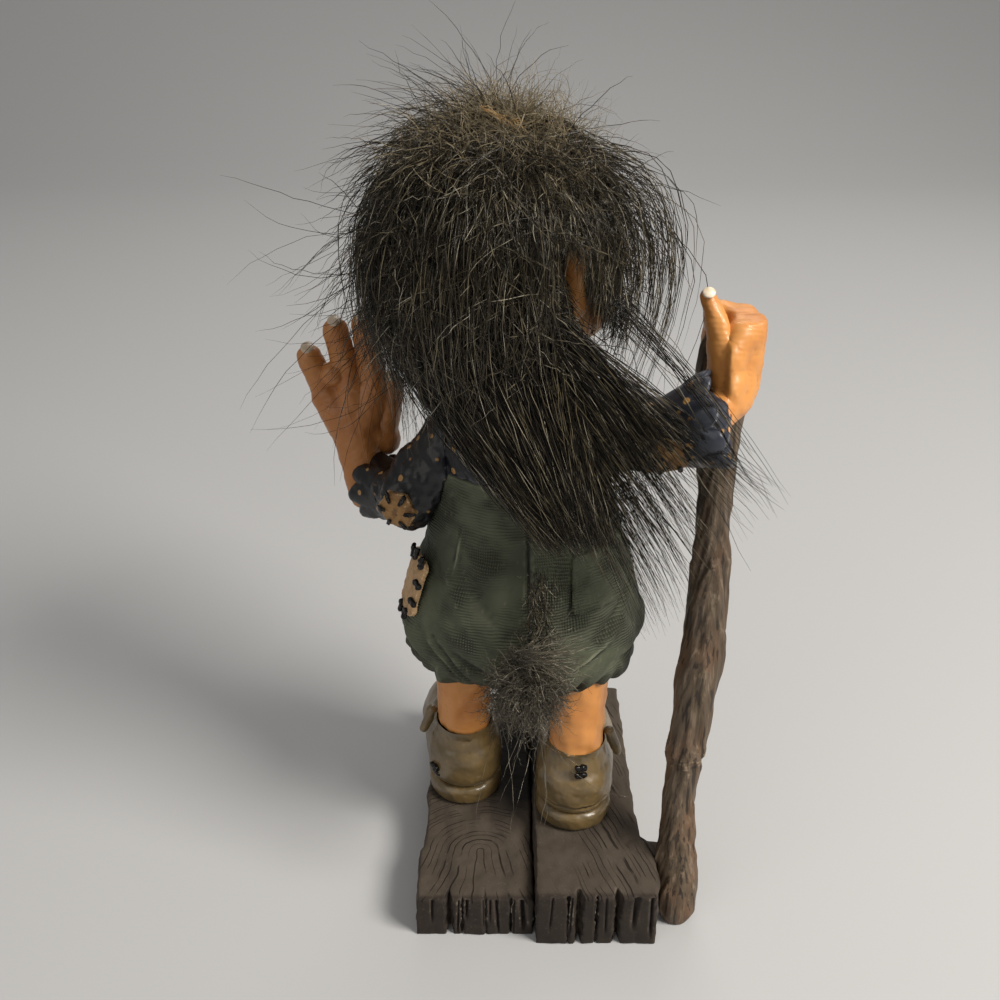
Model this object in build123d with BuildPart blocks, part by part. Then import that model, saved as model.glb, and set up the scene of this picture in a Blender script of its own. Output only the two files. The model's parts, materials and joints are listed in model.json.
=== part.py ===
from build123d import *
from math import asin, cos, degrees, radians, sin
import os

# A folk ornament: a troll on two planks, one hand raised, the other on a staff.
# Millimetres. Z is up, +Y is the way the figure stands facing, +X is its right hand.
# The origin is on the table, under the middle of the base.

# Base planks
BASE_HALF_WIDTH = 21.4
PLANK_LEFT_THICK = 9.5
PLANK_RIGHT_THICK = 12.5
PLANK_LEFT_NEAR = -29.0
PLANK_RIGHT_NEAR = -31.0
PLANK_LEFT_FAR = 28.5
PLANK_RIGHT_FAR = 27.0
PLANK_GAP = 1.4
PLANK_GAP_X = 0.4
PLANK_STEP = 0.9
PLANK_STEP_Y = -17.0
PLANK_EDGE = 0.7
WEB_THICK = 5.0
WEB_NEAR = -20.0
WEB_FAR = 22.0
CRACK_DEPTH = 3.0
CRACKS_LEFT = ((-18.2, 0.6), (-15.4, 1.8), (-13.0, 0.7), (-8.6, 0.6), (-4.0, 0.7))
CRACKS_RIGHT = ((6.4, 0.6), (8.4, 2.0), (11.6, 0.7), (15.4, 1.9), (18.6, 0.7))

# Shoes and legs
HEEL_LEFT = (-13.0, 1.0)
HEEL_RIGHT = (8.3, -8.7)
TOE_OUT_LEFT = 8.0
TOE_OUT_RIGHT = -6.0
HEEL_RADIUS = 7.4
TOE_RADIUS = 6.9
FOOT_REACH = 15.0
SOLE_THICK = 4.2
SOLE_PROUD = 0.35
SOLE_ROUND = 1.5
HEEL_LIFT = 5.4
TOE_LIFT = 3.2
COLLAR_RADIUS = 6.3
SHOE_HEIGHT = 13.4
FLAP_RADIUS = 1.2
FLAP_END_RADIUS = 0.9
FLAP_DROP = 4.6
FLAP_OUT = 1.8
FLAP_FORWARD = 2.5
HEEL_STITCHES = {"left": (52.0, 3.4), "right": (-6.0, 11.2)}
ANKLE_RADIUS = 5.0
CALF_RADIUS = 5.6
LEG_SUNK = 3.0
LEG_SHOWN = 12.2
LEG_TOP_LEFT = (-13.2, 1.0)
LEG_TOP_RIGHT = (8.8, -4.5)

# Trousers and torso, ovals as half width and half depth
HIP_X = -2.3
HIP_Y = -0.5
HEM_Y = 1.5
HEM_OVAL = (18.6, 12.4)
SEAT_OVAL = (22.4, 17.6)
SEAT_RISE = 10.0
LOIN_OVAL = (20.4, 17.0)
LOIN_RISE = 21.0
MIDDLE_OVAL = (16.9, 14.0)
MIDDLE_RISE = 33.0
WAIST_OVAL = (14.6, 12.0)
WAIST_RISE = 44.0
CROTCH_WIDTH = 5.0
CROTCH_HEIGHT = 5.5
CHEST_OVAL = (14.2, 11.2)
CHEST_RISE = 5.0
YOKE_OVAL = (8.6, 8.0)
YOKE_RISE = 12.0
PATCH_THICK = 0.7
PATCH_CORNER = 1.4
POCKET_X = 10.4
POCKET_RISE = 27.0
POCKET_WIDTH = 9.0
POCKET_HEIGHT = 10.0
HIP_PATCH_Y = -3.0
HIP_PATCH_RISE = 20.0
HIP_PATCH_WIDTH = 7.0
HIP_PATCH_HEIGHT = 11.0
HIP_STITCHES = (
    (-2.6, 5.4, 80), (0.0, 5.8, 90), (2.4, 5.0, 70), (-3.4, 1.6, 10),
    (-3.4, -2.0, 0), (-1.6, -5.4, 95), (1.2, -5.6, 85),
)
ELBOW_PATCH_RADIUS = 3.6
ELBOW_PATCH_FACING = {"left": (-0.4, -0.9, 0.0), "right": (0.35, -0.9, -0.1)}
ELBOW_STITCHES = 6

# Arms, as steps from the middle of the yoke
SHOULDER_DROP = 7.0
ARM_LEFT = ((-9.0, 0.5, 0.0), (-18.6, -2.0, -11.6), (-23.6, 5.0, -14.4))
ARM_RIGHT = ((7.0, -0.5, 0.6), (20.6, -9.6, 3.4), (27.0, -10.6, 5.8))
SHOULDER_RADIUS = 6.2
ELBOW_RADIUS = 5.7
SLEEVE_END_RADIUS = {"left": 4.2, "right": 5.2}
CUFF_LENGTH = 3.6
CUFF_FLARE = 0.7
CUFF_THICK = 0.6
SCALLOPS = 9
SCALLOP_RADIUS = 1.4
WRIST_RADIUS = 3.3

# Left hand, as steps from its wrist, which stands out of the left sleeve
WRIST_STEP = (-3.8, 2.5, -1.7)
HAND_LIFT = (-2.2, 4.0, 9.4)
PALM_RADIUS = 3.9
PALM_TOP_RADIUS = 2.9
PALM_TOPS = ((-6.6, 6.0, 15.8), (-2.6, 6.0, 17.6), (1.4, 6.0, 17.4))
FINGER_TIPS = ((-9.8, 6.6, 23.2), (-4.8, 6.8, 28.0), (0.2, 6.6, 29.0))
THUMB_LEFT = ((2.6, 5.0, 8.0), (4.6, 6.2, 18.0))
FINGER_RADIUS = 2.3
FINGERTIP_RADIUS = 1.9
NAIL_RADIUS = 1.25
NAIL_THICK = 0.5
NAIL_FACING = (0.0, -0.8, 0.6)

# Right fist, as steps from the grip, which is on the staff's middle line
GRIP_STEP = (4.7, 9.3, 7.4)
HEEL_OF_HAND = (1.4, -3.6, -5.0)
HEEL_OF_HAND_RADIUS = 3.3
KNUCKLE_OUT = (3.4, -1.6)
KNUCKLE_RADIUS = 2.7
FINGER_WRAP = ((3.4, 3.6), (-1.4, 5.2), (-4.2, 2.8))
FIST_LEVELS = (5.4, 1.4, -2.4)
THUMB_RIGHT = ((-1.6, -3.8, -2.0), (-3.6, -0.8, 10.4))
THUMB_ROOT_RADIUS = 2.9
THUMB_RADIUS = 2.7

# Staff
STAFF_FOOT = (27.2, -24.6)
STAFF_RADIUS = 3.2
STAFF_FOOT_RADIUS = 2.4
STAFF_TOP_RADIUS = 2.7
STAFF_SWELL = 0.35
STAFF_BENDS = (
    (0.04, 0.0, 0.2), (0.18, -0.7, 0.9), (0.4, 0.2, 0.4), (0.62, 1.2, 0.3), (0.84, 0.5, 0.5),
)
STAFF_ABOVE_GRIP = 3.5
LUG_RADIUS = 2.4
LUG_ROOT_RADIUS = 2.8
LUG_Y = -19.0

# Head, in its own frame: the neck axis, with +Y to the nose and Z from the yoke
HEAD_TURN = -50.0
NECK_X = -5.5
NECK_Y = 1.5
NECK_RADIUS = 5.0
NECK_DEPTH = 8.0
NECK_CLEARANCE = 0.05
NECK_END_GAP = 0.4
HEAD_GAP = 0.4
NECK_SHOULDER = 7.4
SKULL_RADIUS = 14.0
SKULL_LOW = 17.0
SKULL_HIGH = 26.5
SKULL_BACK = -1.0
CROWN_RADIUS = 13.5
JAW = (0.0, 2.0, 12.0)
JAW_RADIUS = 8.6
CHIN = (0.0, 7.5, 9.0)
CHIN_RADIUS = 5.6
NOSE_BRIDGE = (0.0, 12.0, 22.0)
NOSE_BRIDGE_RADIUS = 2.4
NOSE_TIP = (0.0, 18.0, 16.5)
NOSE_RADIUS = 3.9
BROW_LEFT = (-6.0, 8.6, 26.0)
BROW_RIGHT = (6.2, 8.6, 26.0)
BROW_RADIUS = 4.0
CHEEK = (4.0, 6.0, 13.0)
CHEEK_RADIUS = 5.6
CHEEKBONE = (6.6, 8.0, 15.0)
CHEEKBONE_RADIUS = 4.8
EYE_RADIUS = 2.4
EYE_PLACE = (4.9, 11.9, 21.0)
EAR_LOBE = (14.4, 0.8, 18.0)
EAR_LOBE_RADIUS = 2.3
EAR_TOP = (16.6, 0.0, 26.5)
EAR_TOP_RADIUS = 1.9
HAIR_RADIUS = 22.8
HAIR_TOP = 45.0
HAIR_HEM_RADIUS = 19.0
HAIR_BOTTOM = 2.0
HAIR_LINING = 12.5
FACE_RADIUS = 11.0
FACE_HEIGHT = 14.5
FACE_FRONT = 7.0

# Hair on the back: rise above the yoke, middle, half width and half depth
BACK_HAIR = (
    (1.2, -5.5, -13.0, 15.0, 7.0),
    (-6.0, -3.0, -16.0, 13.5, 5.6),
    (-14.0, 3.0, -19.0, 12.0, 3.6),
    (-21.0, 8.0, -20.6, 8.0, 1.8),
)

# Tail
TAIL_X = 0.2
TAIL_RISE = 28.0
TAIL_RADIUS = 1.6
TAIL_END_RADIUS = 2.0
TUFT_DROP = 18.5
TUFT_WIDTH = 7.5
TUFT_DEPTH = 3.8
TUFT_HEIGHT = 9.5
TUFT_LEVELS = 3
TAIL_GAP = 0.3

GLUE_GAP = 0.08
JOIN_STEP = 0.1
STITCH_WIDTH = 0.9
STITCH_LENGTH = 2.2
STITCH_THICK = 0.5

# Heights that follow from the pieces below
SHOE_LEFT_Z = PLANK_LEFT_THICK + SOLE_THICK
SHOE_RIGHT_Z = PLANK_RIGHT_THICK + SOLE_THICK
HEM_Z = SHOE_RIGHT_Z + SHOE_HEIGHT + LEG_SHOWN
WAIST_Z = HEM_Z + WAIST_RISE
YOKE_Z = WAIST_Z + YOKE_RISE
YOKE = Vector(NECK_X, NECK_Y, YOKE_Z)
SHOULDERS = Vector(HIP_X, HIP_Y, YOKE_Z - SHOULDER_DROP)
LEFT_ARM = [SHOULDERS + Vector(*step) for step in ARM_LEFT]
RIGHT_ARM = [SHOULDERS + Vector(*step) for step in ARM_RIGHT]
LEFT_WRIST = LEFT_ARM[2] + Vector(*WRIST_STEP)
RIGHT_WRIST = RIGHT_ARM[2]
GRIP = RIGHT_WRIST + Vector(*GRIP_STEP)
HEAD_PLANE = Plane(
    origin=YOKE,
    x_dir=(cos(radians(HEAD_TURN)), sin(radians(HEAD_TURN)), 0),
    z_dir=(0, 0, 1),
)

ARMS = {"left": LEFT_ARM, "right": RIGHT_ARM}
FEET = {
    "left": (HEEL_LEFT, TOE_OUT_LEFT, SHOE_LEFT_Z, LEG_TOP_LEFT),
    "right": (HEEL_RIGHT, TOE_OUT_RIGHT, SHOE_RIGHT_Z, LEG_TOP_RIGHT),
}


def keep(piece, name):
    """Name a finished piece and write it."""
    piece.part.label = name
    export_step(piece.part, f"parts/{name}.step")
    print(f"{name}: {len(piece.part.solids())} solid(s), {piece.part.volume:.1f} mm3")


def taper(start, end, start_radius, end_radius, grow=0.0, mode=Mode.ADD):
    """A round-ended taper between two points, grown by a clearance where it cuts a seat."""
    start, end = Vector(*start), Vector(*end)
    run = end - start
    length = run.length
    low, high = start_radius + grow, end_radius + grow
    lean = degrees(asin((low - high) / length))
    across = Plane(origin=start, z_dir=run)
    with BuildSketch(Plane(origin=start, x_dir=across.x_dir, z_dir=-across.y_dir)) as profile:
        with BuildLine():
            bottom = CenterArc((0, 0), low, -90, 90 + lean)
            top = CenterArc((0, length), high, lean, 90 - lean)
            Line(bottom @ 1, top @ 0)
            Line(top @ 1, bottom @ 0)
        make_face()
    revolve(profile.sketch, axis=Axis(start, run), mode=mode)


def chain(points, radii, grow=0.0, mode=Mode.ADD):
    """Tapers end to end; each starts a little inside the one before, so no two faces lie as one."""
    for index in range(len(points) - 1):
        inset = JOIN_STEP * index
        taper(points[index], points[index + 1], radii[index] - inset,
              radii[index + 1] - inset, grow, mode)


def ovals(levels, grow=0.0, mode=Mode.ADD):
    """A loft through level ovals, each given as x, y, z, half width and half depth."""
    sections = []
    for x, y, z, half_width, half_depth in levels:
        with BuildSketch(Plane(origin=(x, y, z))) as level:
            Ellipse(half_width + grow, half_depth + grow)
        sections.append(level.sketch)
    loft(sections, mode=mode)


def trousers_form(grow=0.0, mode=Mode.ADD):
    """The pear shape of the trousers, hem to waist."""
    stack = (
        (0.0, HEM_OVAL),
        (SEAT_RISE, SEAT_OVAL),
        (LOIN_RISE, LOIN_OVAL),
        (MIDDLE_RISE, MIDDLE_OVAL),
        (WAIST_RISE, WAIST_OVAL),
    )
    levels = [(HIP_X, HIP_Y if rise else HEM_Y, HEM_Z + rise, *oval) for rise, oval in stack]
    ovals(levels, grow, mode)


def torso_form(grow=0.0, mode=Mode.ADD):
    """The chest, from the waist to the yoke under the neck."""
    ovals(
        [
            (HIP_X, HIP_Y, WAIST_Z, *WAIST_OVAL),
            (HIP_X, HIP_Y, WAIST_Z + CHEST_RISE, *CHEST_OVAL),
            (NECK_X, NECK_Y, YOKE_Z, *YOKE_OVAL),
        ],
        grow,
        mode,
    )


def leg_form(side, grow=0.0, mode=Mode.ADD):
    """A bare leg, sunk into the shoe below and the trousers above."""
    heel, _, shoe_z, top = FEET[side]
    foot = (*heel, shoe_z + SHOE_HEIGHT - LEG_SUNK)
    taper(foot, (*top, HEM_Z + LEG_SUNK), ANKLE_RADIUS, CALF_RADIUS, grow, mode)


def sleeve_form(side, grow=0.0, mode=Mode.ADD):
    """Upper arm and forearm of one sleeve."""
    chain(ARMS[side], (SHOULDER_RADIUS, ELBOW_RADIUS, SLEEVE_END_RADIUS[side]), grow, mode)


def cuff_plane(side):
    """The plane of a sleeve's end, looking out of the sleeve."""
    _, elbow, end = ARMS[side]
    return Plane(origin=end, z_dir=end - elbow)


def staff_point(share, side=0.0, away=0.0):
    """A point on the staff, by its share of the height, with a bend sideways and away."""
    foot = Vector(*STAFF_FOOT, 0)
    top = GRIP + (GRIP - foot).normalized() * STAFF_ABOVE_GRIP
    return foot + (top - foot) * share + Vector(side, away, 0)


def staff_form(grow=0.0, mode=Mode.ADD):
    """The staff: level rounds that swell and waver from the foot to the grip."""
    rounds = [(staff_point(0.0), STAFF_FOOT_RADIUS)]
    for index, (share, side, away) in enumerate(STAFF_BENDS):
        swell = STAFF_SWELL if index % 2 == 0 else 0.0
        rounds.append((staff_point(share, side, away), STAFF_RADIUS + swell))
    rounds.append((staff_point(1.0), STAFF_TOP_RADIUS))
    ovals([(p.X, p.Y, p.Z, r, r) for p, r in rounds], grow, mode)


def shoe_form(foot_plane, grow=0.0, mode=Mode.ADD):
    """A shoe's upper: round over heel and toe, with a collar for the leg."""
    heel_middle = foot_plane.from_local_coords(Vector(0, 0, HEEL_LIFT))
    toe_middle = foot_plane.from_local_coords(Vector(0, FOOT_REACH, TOE_LIFT))
    taper(heel_middle, toe_middle, HEEL_RADIUS, TOE_RADIUS, grow, mode)
    with BuildSketch(foot_plane.offset(HEEL_LIFT)) as collar:
        Circle(COLLAR_RADIUS + grow)
    extrude(collar.sketch, amount=SHOE_HEIGHT - HEEL_LIFT, mode=mode)


def stitch_plane(side, foot_plane):
    """The plane that a heel's mending stitches are drawn on, facing out of the heel."""
    turn, rise = HEEL_STITCHES[side]
    bearing = radians(turn)
    middle = foot_plane.from_local_coords(Vector(0, 0, rise))
    return Plane(origin=middle, x_dir=(cos(bearing), -sin(bearing), 0),
                 z_dir=(-sin(bearing), -cos(bearing), 0))


def slot_bars(plane, marks, depth):
    """Short thread bars on a plane, each given as x, y and its angle, cut out of the part so far."""
    with BuildSketch(plane) as bars:
        for x, y, angle in marks:
            with Locations(Location((x, y, 0), (0, 0, angle))):
                SlotOverall(STITCH_LENGTH, STITCH_WIDTH)
    extrude(bars.sketch, amount=depth, mode=Mode.INTERSECT)


def left_wrist_up(step):
    """A point of the raised hand."""
    return LEFT_WRIST + Vector(*step)


def at_grip(step):
    """A point of the fist on the staff."""
    return GRIP + Vector(*step)


def head_point(x, y, z):
    """A point of the turned head, in the row's frame."""
    return HEAD_PLANE.from_local_coords(Vector(x, y, z))


def mirrored(place, side):
    """A point of the head, on its right (1) or left (-1) side."""
    x, y, z = place
    return head_point(x * side, y, z)


def head_form(grow=0.0, mode=Mode.ADD):
    """Skull, jaw, nose, brow, cheeks and ears."""
    skull_low = head_point(0, SKULL_BACK, SKULL_LOW)
    skull_high = head_point(0, SKULL_BACK, SKULL_HIGH)
    taper(skull_low, skull_high, SKULL_RADIUS, CROWN_RADIUS, grow, mode)
    taper(head_point(*JAW), head_point(*CHIN), JAW_RADIUS, CHIN_RADIUS, grow, mode)
    bridge, tip = head_point(*NOSE_BRIDGE), head_point(*NOSE_TIP)
    taper(bridge, tip, NOSE_BRIDGE_RADIUS, NOSE_RADIUS, grow, mode)
    brow_left, brow_right = head_point(*BROW_LEFT), head_point(*BROW_RIGHT)
    taper(brow_left, brow_right, BROW_RADIUS, BROW_RADIUS - JOIN_STEP, grow, mode)
    for side in (-1, 1):
        cheek, cheekbone = mirrored(CHEEK, side), mirrored(CHEEKBONE, side)
        taper(cheek, cheekbone, CHEEK_RADIUS, CHEEKBONE_RADIUS, grow, mode)
        lobe, ear_top = mirrored(EAR_LOBE, side), mirrored(EAR_TOP, side)
        taper(lobe, ear_top, EAR_LOBE_RADIUS, EAR_TOP_RADIUS, grow, mode)


def eye_plane(side):
    """The middle of an eye, looking out of the face."""
    return Plane(origin=mirrored(EYE_PLACE, side), z_dir=HEAD_PLANE.y_dir)


def hair_lump(grow=0.0):
    """The long hair on the back, before the clothes under it are taken away."""
    ovals([(x, y, YOKE_Z + rise, w, d) for rise, x, y, w, d in BACK_HAIR], grow)


def plank(near, far, inner, outer, thick, step, cracks):
    """One plank of the base, with cracks in its near end."""
    with BuildPart() as board:
        with BuildSketch():
            with BuildLine():
                Polyline(
                    (inner, near),
                    (outer, near),
                    (outer, PLANK_STEP_Y),
                    (outer - step, PLANK_STEP_Y + PLANK_STEP),
                    (outer - step, far),
                    (inner, far),
                    close=True,
                )
            make_face()
        extrude(amount=thick)
        fillet(board.faces().sort_by(Axis.Z)[-1].edges(), PLANK_EDGE)
        with BuildSketch():
            for x, width in cracks:
                with BuildLine():
                    Polyline(
                        (x - width / 2, near - PLANK_EDGE),
                        (x + width / 2, near - PLANK_EDGE),
                        (x, near + CRACK_DEPTH),
                        close=True,
                    )
                make_face()
        extrude(amount=thick, mode=Mode.SUBTRACT)
    return board.part


os.makedirs("parts", exist_ok=True)

# Two planks; a web under the left one closes the gap, set back from the near end.
left_board = plank(
    PLANK_LEFT_NEAR, PLANK_LEFT_FAR, PLANK_GAP_X - PLANK_GAP / 2, -BASE_HALF_WIDTH,
    PLANK_LEFT_THICK, -PLANK_STEP, CRACKS_LEFT,
)
right_board = plank(
    PLANK_RIGHT_NEAR, PLANK_RIGHT_FAR, PLANK_GAP_X + PLANK_GAP / 2, BASE_HALF_WIDTH,
    PLANK_RIGHT_THICK, PLANK_STEP, CRACKS_RIGHT,
)

with BuildPart() as base_plank_left:
    add(left_board)
    with BuildSketch():
        with Locations((PLANK_GAP_X, (WEB_NEAR + WEB_FAR) / 2)):
            Rectangle(PLANK_GAP, WEB_FAR - WEB_NEAR)
    extrude(amount=WEB_THICK)
keep(base_plank_left, "base_plank_left")

# The right plank carries a cast lug that the staff is glued to.
with BuildPart() as base_plank_right:
    add(right_board)
    lug_z = PLANK_RIGHT_THICK - LUG_RADIUS
    staff_side = staff_point(lug_z / GRIP.Z)
    taper(
        (BASE_HALF_WIDTH - LUG_RADIUS, LUG_Y, lug_z),
        (staff_side.X - LUG_RADIUS, LUG_Y, lug_z),
        LUG_ROOT_RADIUS,
        LUG_RADIUS,
    )
    staff_form(GLUE_GAP, Mode.SUBTRACT)
keep(base_plank_right, "base_plank_right")

with BuildPart() as walking_staff:
    staff_form()
keep(walking_staff, "walking_staff")

# Shoes: a welted sole, a round upper with the leg's seat, mending stitches and a flap on the collar.
for side, (heel, toe_out, shoe_z, _) in FEET.items():
    foot_plane = Plane(
        origin=(*heel, shoe_z),
        x_dir=(cos(radians(toe_out)), sin(radians(toe_out)), 0),
        z_dir=(0, 0, 1),
    )
    with BuildPart() as sole:
        with BuildSketch(foot_plane):
            Circle(HEEL_RADIUS + SOLE_PROUD)
            with Locations((0, FOOT_REACH)):
                Circle(TOE_RADIUS + SOLE_PROUD)
            make_hull()
        extrude(amount=-SOLE_THICK)
        fillet(sole.faces().sort_by(Axis.Z)[-1].edges(), SOLE_ROUND)
        fillet(sole.faces().sort_by(Axis.Z)[0].edges(), SOLE_ROUND)
    keep(sole, f"sole_{side}")

    with BuildPart() as shoe:
        shoe_form(foot_plane)
        with BuildSketch(foot_plane):
            Rectangle(4 * HEEL_RADIUS, 4 * FOOT_REACH)
        extrude(amount=-2 * HEEL_RADIUS, mode=Mode.SUBTRACT)
        leg_form(side, GLUE_GAP, Mode.SUBTRACT)
    keep(shoe, f"shoe_{side}")

    with BuildPart() as heel_stitches:
        shoe_form(foot_plane, STITCH_THICK + GLUE_GAP)
        marks = ((0, STITCH_WIDTH, 0), (0, -STITCH_WIDTH, 0))
        slot_bars(stitch_plane(side, foot_plane), marks, 2 * HEEL_RADIUS)
        shoe_form(foot_plane, GLUE_GAP, Mode.SUBTRACT)
    keep(heel_stitches, f"heel_stitches_{side}")

    outward = 1 if side == "right" else -1
    flap_top = Vector(outward * COLLAR_RADIUS, FLAP_FORWARD, SHOE_HEIGHT)
    flap_end = flap_top + Vector(outward * FLAP_OUT, 0, -FLAP_DROP)
    with BuildPart() as shoe_flap:
        taper(
            foot_plane.from_local_coords(flap_top),
            foot_plane.from_local_coords(flap_end),
            FLAP_RADIUS,
            FLAP_END_RADIUS,
        )
        shoe_form(foot_plane, GLUE_GAP, Mode.SUBTRACT)
        leg_form(side, GLUE_GAP, Mode.SUBTRACT)
    keep(shoe_flap, f"shoe_flap_{side}")

    with BuildPart() as leg:
        leg_form(side)
    keep(leg, f"leg_{side}")

with BuildPart() as trousers:
    trousers_form()
    with BuildSketch(Plane.XZ.offset(-HIP_Y)):
        with Locations((HIP_X, HEM_Z)):
            Ellipse(CROTCH_WIDTH / 2, CROTCH_HEIGHT)
    extrude(amount=2 * SEAT_OVAL[1], both=True, mode=Mode.SUBTRACT)
    for side in FEET:
        leg_form(side, GLUE_GAP, Mode.SUBTRACT)
keep(trousers, "trousers")

# The torso, with the round socket that the neck plug turns in.
with BuildPart() as shirt_torso:
    torso_form()
    with BuildSketch(Plane(origin=YOKE)):
        Circle(NECK_RADIUS + NECK_CLEARANCE)
    extrude(amount=-NECK_DEPTH, mode=Mode.SUBTRACT)
keep(shirt_torso, "shirt_torso")

# The pocket and the hip patch are thin layers that follow the trousers.
hip_plane = Plane.YZ.offset(HIP_X)
pocket_plane = Plane.XZ.offset(-HIP_Y)
with BuildPart() as back_pocket:
    trousers_form(PATCH_THICK + GLUE_GAP)
    with BuildSketch(pocket_plane):
        with Locations((POCKET_X, HEM_Z + POCKET_RISE)):
            RectangleRounded(POCKET_WIDTH, POCKET_HEIGHT, PATCH_CORNER)
    extrude(amount=2 * SEAT_OVAL[1], mode=Mode.INTERSECT)
    trousers_form(GLUE_GAP, Mode.SUBTRACT)
keep(back_pocket, "back_pocket")

with BuildPart() as hip_patch:
    trousers_form(PATCH_THICK + GLUE_GAP)
    with BuildSketch(hip_plane):
        with Locations((HIP_PATCH_Y, HEM_Z + HIP_PATCH_RISE)):
            RectangleRounded(HIP_PATCH_WIDTH, HIP_PATCH_HEIGHT, PATCH_CORNER)
    extrude(amount=-2 * SEAT_OVAL[0], mode=Mode.INTERSECT)
    trousers_form(GLUE_GAP, Mode.SUBTRACT)
keep(hip_patch, "hip_patch")

with BuildPart() as hip_patch_stitches:
    trousers_form(PATCH_THICK + STITCH_THICK + 2 * GLUE_GAP)
    marks = [(HIP_PATCH_Y + y, HEM_Z + HIP_PATCH_RISE + z, turn) for y, z, turn in HIP_STITCHES]
    slot_bars(hip_plane, marks, -2 * SEAT_OVAL[0])
    trousers_form(PATCH_THICK + 2 * GLUE_GAP, Mode.SUBTRACT)
keep(hip_patch_stitches, "hip_patch_stitches")


def hand_left_form(grow=0.0, mode=Mode.ADD):
    """The raised open hand: wrist, a palm that fans out, three fingers and a thumb."""
    palm = left_wrist_up(HAND_LIFT)
    taper(LEFT_WRIST, palm, WRIST_RADIUS, PALM_RADIUS, grow, mode)
    for top, tip in zip(PALM_TOPS, FINGER_TIPS):
        taper(palm, left_wrist_up(top), PALM_RADIUS - JOIN_STEP, PALM_TOP_RADIUS, grow, mode)
        taper(left_wrist_up(top), left_wrist_up(tip), FINGER_RADIUS, FINGERTIP_RADIUS, grow, mode)
    thumb_low, thumb_tip = (left_wrist_up(step) for step in THUMB_LEFT)
    taper(palm, thumb_low, PALM_RADIUS - 2 * JOIN_STEP, PALM_TOP_RADIUS, grow, mode)
    taper(thumb_low, thumb_tip, FINGER_RADIUS, FINGERTIP_RADIUS, grow, mode)


def hand_right_form(grow=0.0, mode=Mode.ADD):
    """The fist: wrist, back of the hand, fingers round the staff and a thumb that points up."""
    heel_of_hand = at_grip(HEEL_OF_HAND)
    taper(RIGHT_WRIST, heel_of_hand, WRIST_RADIUS, HEEL_OF_HAND_RADIUS, grow, mode)
    for level in FIST_LEVELS:
        knuckle = at_grip((*KNUCKLE_OUT, level))
        taper(heel_of_hand, knuckle, HEEL_OF_HAND_RADIUS - JOIN_STEP, KNUCKLE_RADIUS, grow, mode)
        wrap = [knuckle] + [at_grip((*step, level)) for step in FINGER_WRAP]
        chain(wrap, [FINGER_RADIUS] * len(wrap), grow, mode)
    thumb_low, thumb_tip = (at_grip(step) for step in THUMB_RIGHT)
    taper(heel_of_hand, thumb_low, HEEL_OF_HAND_RADIUS - 2 * JOIN_STEP, THUMB_ROOT_RADIUS, grow, mode)
    taper(thumb_low, thumb_tip, THUMB_RADIUS, FINGERTIP_RADIUS, grow, mode)


def nail(start, tip, start_radius):
    """A nail on a fingertip, before the hand under it is taken away."""
    with BuildPart() as plate:
        taper(start, tip, start_radius, FINGERTIP_RADIUS, NAIL_THICK + GLUE_GAP)
        with BuildSketch(Plane(origin=tip, z_dir=NAIL_FACING)) as outline:
            Circle(NAIL_RADIUS)
        extrude(outline.sketch, amount=2 * FINGERTIP_RADIUS, mode=Mode.INTERSECT)
    return plate.part


with BuildPart() as hand_left:
    hand_left_form()
keep(hand_left, "hand_left")

with BuildPart() as hand_right:
    hand_right_form()
    staff_form(GLUE_GAP, Mode.SUBTRACT)
keep(hand_right, "hand_right")

left_fingers = list(zip(PALM_TOPS, FINGER_TIPS)) + [THUMB_LEFT]
left_nails = [nail(left_wrist_up(low), left_wrist_up(tip), FINGER_RADIUS) for low, tip in left_fingers]
with BuildPart() as fingernails_left:
    add(left_nails)
    hand_left_form(GLUE_GAP, Mode.SUBTRACT)
keep(fingernails_left, "fingernails_left")

right_nail = nail(at_grip(THUMB_RIGHT[0]), at_grip(THUMB_RIGHT[1]), THUMB_RADIUS)
with BuildPart() as thumbnail_right:
    add(right_nail)
    hand_right_form(GLUE_GAP, Mode.SUBTRACT)
keep(thumbnail_right, "thumbnail_right")

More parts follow.
